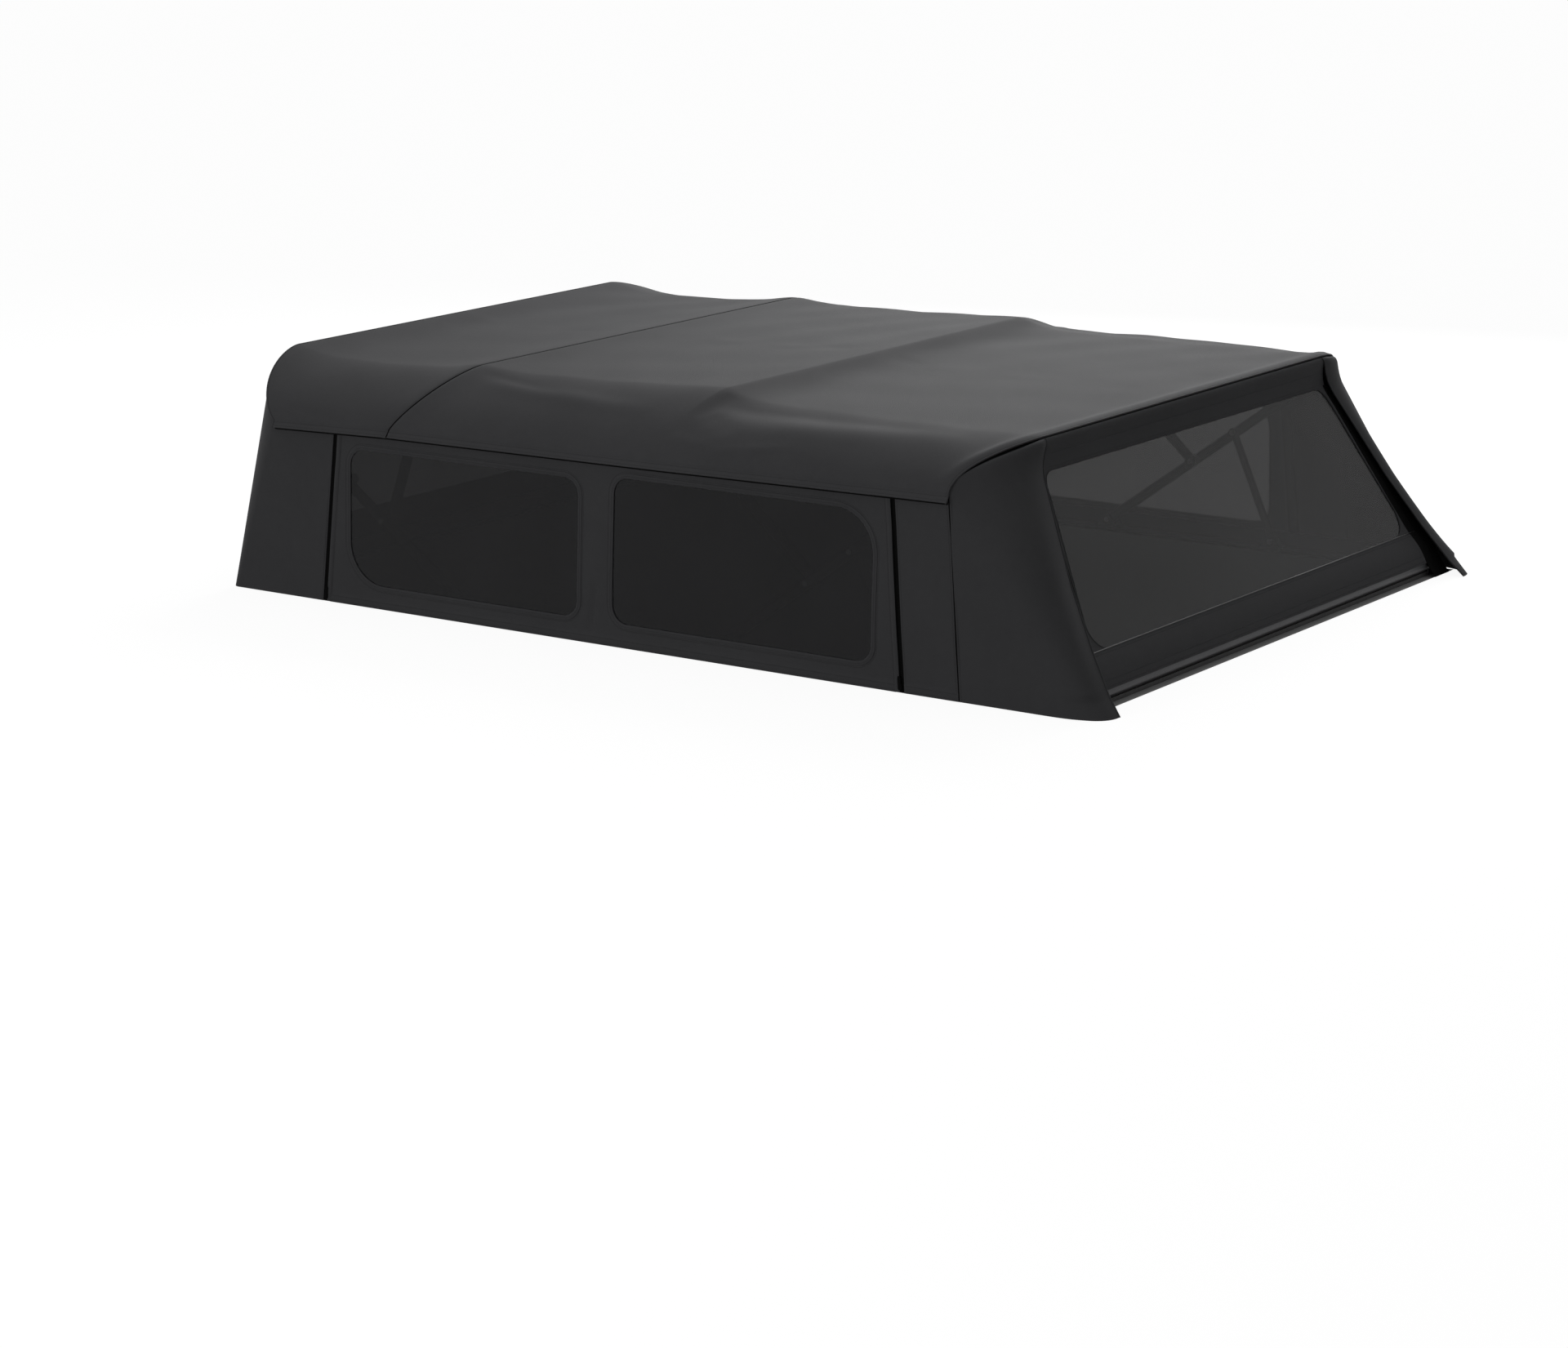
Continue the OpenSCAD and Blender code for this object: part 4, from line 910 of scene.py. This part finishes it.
def rear_outline(inset=0.0, arc=10, straight=40):
    """Rear window in (y, z): straight slanted sides and rounded corners."""
    low, top = REAR_WINDOW_LOW + inset, REAR_WINDOW_TOP - inset
    low_half = seam_y(REAR_WINDOW_LOW + REAR_WINDOW_CORNER) - MARGIN_LOW + 0.014 - inset
    top_half = seam_y(REAR_WINDOW_TOP - REAR_WINDOW_CORNER) - MARGIN_TOP - 0.014 - inset
    corners = [(-low_half, low), (low_half, low), (top_half, top), (-top_half, top)]
    path = []
    for k in range(4):
        p, before, after = (np.array(corners[i % 4]) for i in (k, k - 1, k + 1))
        a, b = (before - p) / np.linalg.norm(before - p), (after - p) / np.linalg.norm(after - p)
        radius = REAR_WINDOW_CORNER - inset
        turn = math.acos(a.dot(b))
        cut = radius / math.tan(turn / 2)
        start, end = p + a * cut, p + b * cut
        centre = p + (a + b) / np.linalg.norm(a + b) * radius / math.sin(turn / 2)
        first = math.atan2(*(start - centre)[::-1])
        sweep = (math.atan2(*(end - centre)[::-1]) - first + math.pi) % (2 * math.pi) - math.pi
        angles = first + sweep * np.linspace(0, 1, arc + 1)
        path.append(centre + radius * np.stack([np.cos(angles), np.sin(angles)], 1))
    full = []
    for k in range(4):
        full.append(path[k])
        start, end = path[k][-1], path[(k + 1) % 4][0]
        full.append(start + (end - start) * np.linspace(0, 1, straight + 1)[1:-1, None])
    return np.concatenate(full)


rear_top = REAR_TOP - CORNER_LIFT
share = np.linspace(-1, 1, 181)
levels = np.concatenate([[REAR_CURTAIN_END, REAR_CURTAIN_END + 0.004], np.linspace(0.049, 0.464, 50),
                         [0.469, 0.472, 0.475, 0.483], np.linspace(0.492, rear_top, 18)])
rear_grid = np.array([np.stack([(seam_y(z) - TUCK) * share, np.full(181, z)], -1) for z in levels])
rear_flat, rear_faces = cut_grid(rear_grid.reshape(-1, 2), quads(len(levels), 181), rear_outline(), False)
rear_points = on_rear(rear_flat[:, 0], rear_flat[:, 1])
cloth("rear_cloth", rear_points, towards(rear_points, rear_faces, (-1, 0, 0)), FABRIC, wall_twill, "wall_twill",
      (1.68, 0.18), ["rear_bow", "tailgate_bar"], ["rear_curtain"])

outline = rear_outline()
ys, zs = np.meshgrid(np.linspace(-0.77, 0.77, 160), np.linspace(REAR_WINDOW_LOW, REAR_WINDOW_TOP, 40))
pane_flat, pane_faces = cut_grid(np.stack([ys.ravel(), zs.ravel()], 1), quads(40, 160), outline, True)
pane_points = on_rear(pane_flat[:, 0], pane_flat[:, 1], -PANE_DEPTH)
cloth("rear_pane", pane_points, towards(pane_points, pane_faces, (-1, 0, 0)), PANE, rear_vinyl, "window_vinyl",
      (1.54, 0.45), ["rear_cloth"], ["rear_window"])

# Rear zips: the same black tape under the storm flaps, from the hem to the header. Inwards the black is widened over
# the curtain's twill margin up to the window's edge; that part is painted shade from the flaps.
rear_zip_points, rear_zip_faces = [], []
for side in (-1, 1):
    heights = np.linspace(HEM_LIFT, HEADER_LOW, 50)
    edge = seam_y(heights)
    # The black's inner edge follows the window's edge: painted shade over the twill margin.
    inner = np.minimum(seam_y(REAR_WINDOW_LOW + REAR_WINDOW_CORNER) - MARGIN_LOW + 0.017 - REAR_WINDOW_SLANT * (
        heights - REAR_WINDOW_LOW), edge - 0.006)
    lines = [on_rear(side * (inner + (edge + 0.026 - inner) * w), heights, 0.0006) for w in np.linspace(0, 1, 9)]
    points = np.array(lines).reshape(-1, 3)
    faces = towards(points, quads(9, 50), (-1, 0, 0))
    rear_zip_faces.append(faces + sum(len(p) for p in rear_zip_points))
    rear_zip_points.append(points)
cloth("rear_zip_tapes_and_shade", np.concatenate(rear_zip_points), np.concatenate(rear_zip_faces), TAPE, zip_shade.material,
      "zip_tape", (0.14, 0.62), ["rear_cloth"], ["rear_zips"])

# Cords: the deck's seam at the second bow and its two bound ends, the bound edges of the storm flaps, the felled
# quarter seams, a black cord of painted shadow under each side flap of the deck, and the welded beads round the front
# and rear windows, whose pale patches are painted highlight.
CORD_SIDES = 8
SEAM_CORD = 0.0016
END_CORD = 0.0024
WINDOW_BEAD = 0.0012


def cord(name, path, radius, material, closed=False, facing=(0.31, 0.17, 0.93), flat=1.0):
    """Cord swept along a path, with closed ends or as a ring, and flattened towards a facing."""
    path = np.asarray(path, float)
    ahead = np.roll(path, -1, 0) - np.roll(path, 1, 0)
    if not closed:
        ahead[0], ahead[-1] = path[1] - path[0], path[-1] - path[-2]
    ahead /= np.linalg.norm(ahead, axis=1, keepdims=True)
    side = np.cross(ahead, facing)
    side /= np.linalg.norm(side, axis=1, keepdims=True)
    other = np.cross(ahead, side)
    turns = np.linspace(0, 2 * math.pi, CORD_SIDES, endpoint=False)
    rings = path[:, None] + radius * (np.cos(turns)[:, None] * side[:, None] + flat * np.sin(turns)[:, None] * other[:, None])
    grid = np.concatenate([rings, rings[:1]]) if closed else rings
    faces = quads(len(grid), CORD_SIDES, closed=True)
    if closed:
        faces = faces % (len(path) * CORD_SIDES)
    points = rings.reshape(-1, 3)
    faces = faces.tolist() if closed else faces.tolist() + [list(range(CORD_SIDES))[::-1],
                                                            list(range(len(points) - CORD_SIDES, len(points)))]
    wide = [f for f in faces if len(f) == 4]
    shell = outward_shell(points, np.array(wide))
    if shell[0].tolist() != wide[0]:
        faces = [f[::-1] for f in faces]
    return make_piece(name, points, faces, material)


cord("deck_seam_cord", deck_grid[BAY_ROWS] + [0, 0, 0.0002], SEAM_CORD, zip_shade.material)
cord("deck_front_cord", deck_grid[0] - [0, 0, 0.0014], END_CORD, wall_twill)
cord("deck_rear_cord", deck_grid[-1] - [0, 0, 0.0016], END_CORD, wall_twill)
flap_edge = corner_sides[0].reshape(corner_grid.shape)[:, -1]
quarter_heights = np.linspace(0.002, wall_top(REAR_CORNER_X) - 0.001, 30)
quarter_line = on_wall(QUARTER_X + (REAR_CORNER_X - QUARTER_X) * quarter_heights / wall_top(REAR_CORNER_X),
                       quarter_heights, 0.0002)
for turn, tag in ((1, "left"), (-1, "right")):
    cord("flap_cord_" + tag, (flap_edge - [0.0, 0.0012, 0]) * [1, turn, 1], 0.0021, wall_twill)
    cord("quarter_cord_" + tag, quarter_line * [1, turn, 1], 0.0013, zip_shade.material)
# Painted shadow: a black cord along each wall, just below the deck's flap, stands for the shade under the flap.
shadow_line_x = np.linspace(REAR_CORNER_X + 0.002, BOWS[0][1] - 0.004, 200)
for turn, tag in ((1, "left"), (-1, "right")):
    shadow_line = on_wall(shadow_line_x, wall_top(shadow_line_x) - FLAP_HEIGHT - 0.0005, 0.0006)
    cord("flap_painted_shadow_" + tag, shadow_line * [1, turn, 1], 0.0034, zip_shade.material)
    for zip_x, place in ((FRONT_ZIP_X, "front"), (REAR_ZIP_X, "rear")):
        heights = np.linspace(0.002, wall_top(zip_x) - 0.003, 40)
        fly = on_wall(zip_x - 0.0070 * math.copysign(1, zip_x) - math.copysign(ZIP_SLANT, zip_x) * heights / wall_top(zip_x),
                      heights, 0.0004)
        cord(f"zip_fly_{place}_{tag}", fly * [1, turn, 1], 0.0060, wall_twill,
             facing=(0, turn, 0.03), flat=0.28)
# Painted highlight: the beads are dark, with pale patches where a noise rises above its middle, standing for glints on
# the welds; the rear window's bead carries the same pale patches.
highlight_bead = Finish("painted_highlight_bead", Specular_IOR_Level=0.4)
highlight_noise = highlight_bead.noise(4, 2)
highlight_bead.set("Base Color", highlight_bead.blend((highlight_noise - 0.54) * 7, (0.012, 0.012, 0.012, 1), (0.16, 0.16, 0.16, 1)))
highlight_bead.set("Roughness", highlight_noise * 0.2 + 0.2)
for window, place in ((FRONT_WINDOW, "front"), (REAR_WINDOW, "rear")):
    ring = window_outline(*window, inset=0.0008)
    for turn, tag in ((1, "left"), (-1, "right")):
        cord(f"side_weld_{place}_{tag}", on_wall(ring[:, 0], ring[:, 1], 0.0002) * [1, turn, 1], WINDOW_BEAD,
             highlight_bead.material, closed=True)
across = np.linspace(-1, 1, 90)
cord("rear_window_bead", on_rear(across * (seam_y(REAR_WINDOW_LOW) - 0.012), REAR_WINDOW_LOW - 0.002, 0.0008),
     WINDOW_BEAD, highlight_bead.material)
ring = rear_outline(-0.001)
cord("rear_window_weld", on_rear(ring[:, 0], ring[:, 1], 0.0001), WINDOW_BEAD, wall_twill, closed=True)
ring = window_outline(*PANEL_WINDOW, inset=-0.001)
cord("front_window_weld", on_front(ring[:, 0], ring[:, 1], 0.0001), WINDOW_BEAD, wall_twill, closed=True)


# Stitching and zip coils: one small turned shape is repeated along lines that lie on the cloth, as
# lock stitch in black thread and as the moulded coils of the zips.
thread = Finish("black_thread", Specular_IOR_Level=0.1)
twist = thread.noise(1500, 2)
thread.set("Base Color", thread.blend(twist, (0.020, 0.020, 0.021, 1), (0.05, 0.05, 0.052, 1)))
thread.set("Roughness", twist * 0.2 + 0.6)

line_tree = bpy.data.node_groups.new("repeat_along", "GeometryNodeTree")
for name, kind in (("Geometry", "NodeSocketGeometry"), ("Pitch", "NodeSocketFloat"), ("Length", "NodeSocketFloat"),
                   ("Radius", "NodeSocketFloat"), ("Finish", "NodeSocketMaterial")):
    line_tree.interface.new_socket(name=name, in_out="INPUT", socket_type=kind)
line_tree.interface.new_socket(name="Geometry", in_out="OUTPUT", socket_type="NodeSocketGeometry")
made = {name: line_tree.nodes.new(kind) for name, kind in (
    ("given", "NodeGroupInput"), ("curve", "GeometryNodeMeshToCurve"), ("steps", "GeometryNodeResampleCurve"),
    ("shape", "GeometryNodeMeshCylinder"), ("tangent", "GeometryNodeInputTangent"),
    ("align", "FunctionNodeAlignRotationToVector"), ("repeat", "GeometryNodeInstanceOnPoints"),
    ("real", "GeometryNodeRealizeInstances"), ("paint", "GeometryNodeSetMaterial"), ("result", "NodeGroupOutput"))}
made["steps"].mode = "LENGTH"
made["align"].axis = "Z"
made["shape"].inputs["Vertices"].default_value = 6
for start, output, end, entry in (
        ("given", "Geometry", "curve", "Mesh"), ("curve", "Curve", "steps", "Curve"),
        ("given", "Pitch", "steps", "Length"), ("given", "Radius", "shape", "Radius"),
        ("given", "Length", "shape", "Depth"), ("tangent", "Tangent", "align", "Vector"),
        ("steps", "Curve", "repeat", "Points"), ("shape", "Mesh", "repeat", "Instance"),
        ("align", "Rotation", "repeat", "Rotation"), ("repeat", "Instances", "real", "Geometry"),
        ("real", "Geometry", "paint", "Geometry"), ("given", "Finish", "paint", "Material"),
        ("paint", "Geometry", "result", "Geometry")):
    line_tree.links.new(made[start].outputs[output], made[end].inputs[entry])
socket_ids = {item.name: item.identifier for item in line_tree.interface.items_tree if item.in_out == "INPUT"}


def repeated(name, paths, pitch, length, radius, material, slot):
    points, edges = [], []
    for path in paths:
        start = len(points)
        points += np.asarray(path).tolist()
        edges += [(k, k + 1) for k in range(start, len(points) - 1)]
    guide = bpy.data.meshes.new(name)
    guide.from_pydata(points, edges, [])
    piece = bpy.data.objects.new(name, guide)
    bpy.context.scene.collection.objects.link(piece)
    modifier = piece.modifiers.new("repeat", "NODES")
    modifier.node_group = line_tree
    for key, value in (("Pitch", pitch), ("Length", length), ("Radius", radius), ("Finish", material)):
        modifier[socket_ids[key]] = value
    evaluated = piece.evaluated_get(bpy.context.evaluated_depsgraph_get())
    plain = bpy.data.meshes.new_from_object(evaluated)
    piece.modifiers.remove(modifier)
    piece.data = plain
    plain.shade_smooth()
    plain.set_sharp_from_angle(angle=math.radians(50))
    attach(piece, "root")
    return piece


def wall_line(x_low, x_top, s0=0.004, s1=None, out=0.0001):
    end = wall_top(x_top) - 0.003 if s1 is None else s1
    heights = np.linspace(s0, end, 60)
    return on_wall(x_low + (x_top - x_low) * heights / wall_top(x_top), heights, out)


STITCH = (0.0042, 0.0030, 0.00035)
COIL = (0.0026, 0.0013, 0.0017)
long_x = np.linspace(REAR_ZIP_X + 0.016, FRONT_ZIP_X - 0.016, 400)
quarter_x = np.linspace(QUARTER_X + 0.008, REAR_ZIP_X - 0.016, 60)
wall_lines = [on_wall(long_x, s, 0.0009) for s in (0.0055, 0.0175)] + [on_wall(quarter_x, s, 0.0009) for s in (0.0055, 0.0175)]
for zip_x in (FRONT_ZIP_X, REAR_ZIP_X):
    lean = -math.copysign(ZIP_SLANT, zip_x)
    for gap in (-0.0150, 0.0150):
        wall_lines.append(wall_line(zip_x + gap, zip_x + gap + lean))
for gap in (-0.0060, 0.0060):
    wall_lines.append(wall_line(QUARTER_X + gap, REAR_CORNER_X + gap))
for window in (FRONT_WINDOW, REAR_WINDOW):
    for offset in (0.0105, 0.0010):
        ring = window_outline(*window, inset=-offset)
        wall_lines.append(on_wall(np.append(ring[:, 0], ring[0, 0]), np.append(ring[:, 1], ring[0, 1]),
                                  0.0001 if offset > 0.008 else 0.0023))
coil_lines = [wall_line(x, x - math.copysign(ZIP_SLANT, x), 0.003, None, -0.0022) for x in (FRONT_ZIP_X, REAR_ZIP_X)]
for turn, tag in ((1, "left"), (-1, "right")):
    repeated("wall_stitches_" + tag, [line * [1, turn, 1] for line in wall_lines], *STITCH, thread.material, "wall_twill")
    repeated("side_zip_coils_" + tag, [line * [1, turn, 1] for line in coil_lines], *COIL, zip_shade.material, "zip_tape")
deck_lines = []
for row in (BAY_ROWS - 2, BAY_ROWS + 2, 2, -3):
    deck_lines.append(deck_grid[row, 3:-3] + [0, 0, 0.0001])
for column in (1, 3):
    out = [0, 0.0001, 0]
    deck_lines += [deck_grid[:, column] + out, deck_grid[:, -1 - column] - out]
repeated("deck_stitches", deck_lines, *STITCH, thread.material, "deck_twill")
rear_lines = []
for z in (REAR_CURTAIN_END + 0.004, REAR_CURTAIN_END + 0.016, REAR_WINDOW_LOW - 0.010, REAR_WINDOW_TOP + 0.008, 0.505):
    half = float(seam_y(z)) - 0.045
    rear_lines.append(on_rear(np.linspace(-half, half, 200), z, 0.0001))
repeated("rear_stitches", rear_lines, *STITCH, thread.material, "wall_twill")
heights = np.linspace(0.050, HEADER_LOW - 0.01, 120)
repeated("rear_zip_coils", [on_rear(turn * (seam_y(heights) - 0.006), heights, 0.0018) for turn in (1, -1)],
         *COIL, zip_shade.material, "zip_tape")


# Zip sliders: moulded black nylon with a flat pull, one at the foot of each side zip.
SLIDER = (0.011, 0.016, 0.0035)
PULL = (0.008, 0.024, 0.0014)


def plate(size, at, lean):
    """Chamfered plate on the left wall: width, height and thickness, at a place and height up the wall."""
    width, height, depth = size
    ring = [(-1, -0.6), (-0.6, -1), (0.6, -1), (1, -0.6), (1, 0.6), (0.6, 1), (-0.6, 1), (-1, 0.6)]
    points = []
    for out, scale in ((0.0, 1.0), (0.7, 1.0), (1.0, 0.8)):
        for a, b in ring:
            u, v = a * width / 2 * scale, b * height / 2 * scale
            points.append(on_wall(at[0] + u - lean * v, at[1] + v, at[2] + out * depth))
    faces = quads(3, 8, closed=True).tolist() + [list(range(8))[::-1], list(range(16, 24))]
    return np.array(points), faces


for zip_x, place in ((FRONT_ZIP_X, "front"), (REAR_ZIP_X, "rear")):
    lean = math.copysign(ZIP_SLANT, zip_x) / wall_top(zip_x)
    parts = [plate(SLIDER, (zip_x - lean * 0.014, 0.014, -0.0010), lean),
             plate(PULL, (zip_x - lean * 0.026, 0.026, 0.0026), lean)]
    points = np.concatenate([p for p, _ in parts])
    faces = [f for f in parts[0][1]] + [[k + len(parts[0][0]) for k in f] for f in parts[1][1]]
    shell = np.array([f for f in faces if len(f) == 4])
    if outward_shell(points, shell)[0].tolist() != shell[0].tolist():
        faces = [f[::-1] for f in faces]
    for left, tag in ((True, "left"), (False, "right")):
        make_piece(f"zip_slider_{place}_{tag}", points if left else points * [1, -1, 1],
                   faces if left else [f[::-1] for f in faces], zip_shade.material)
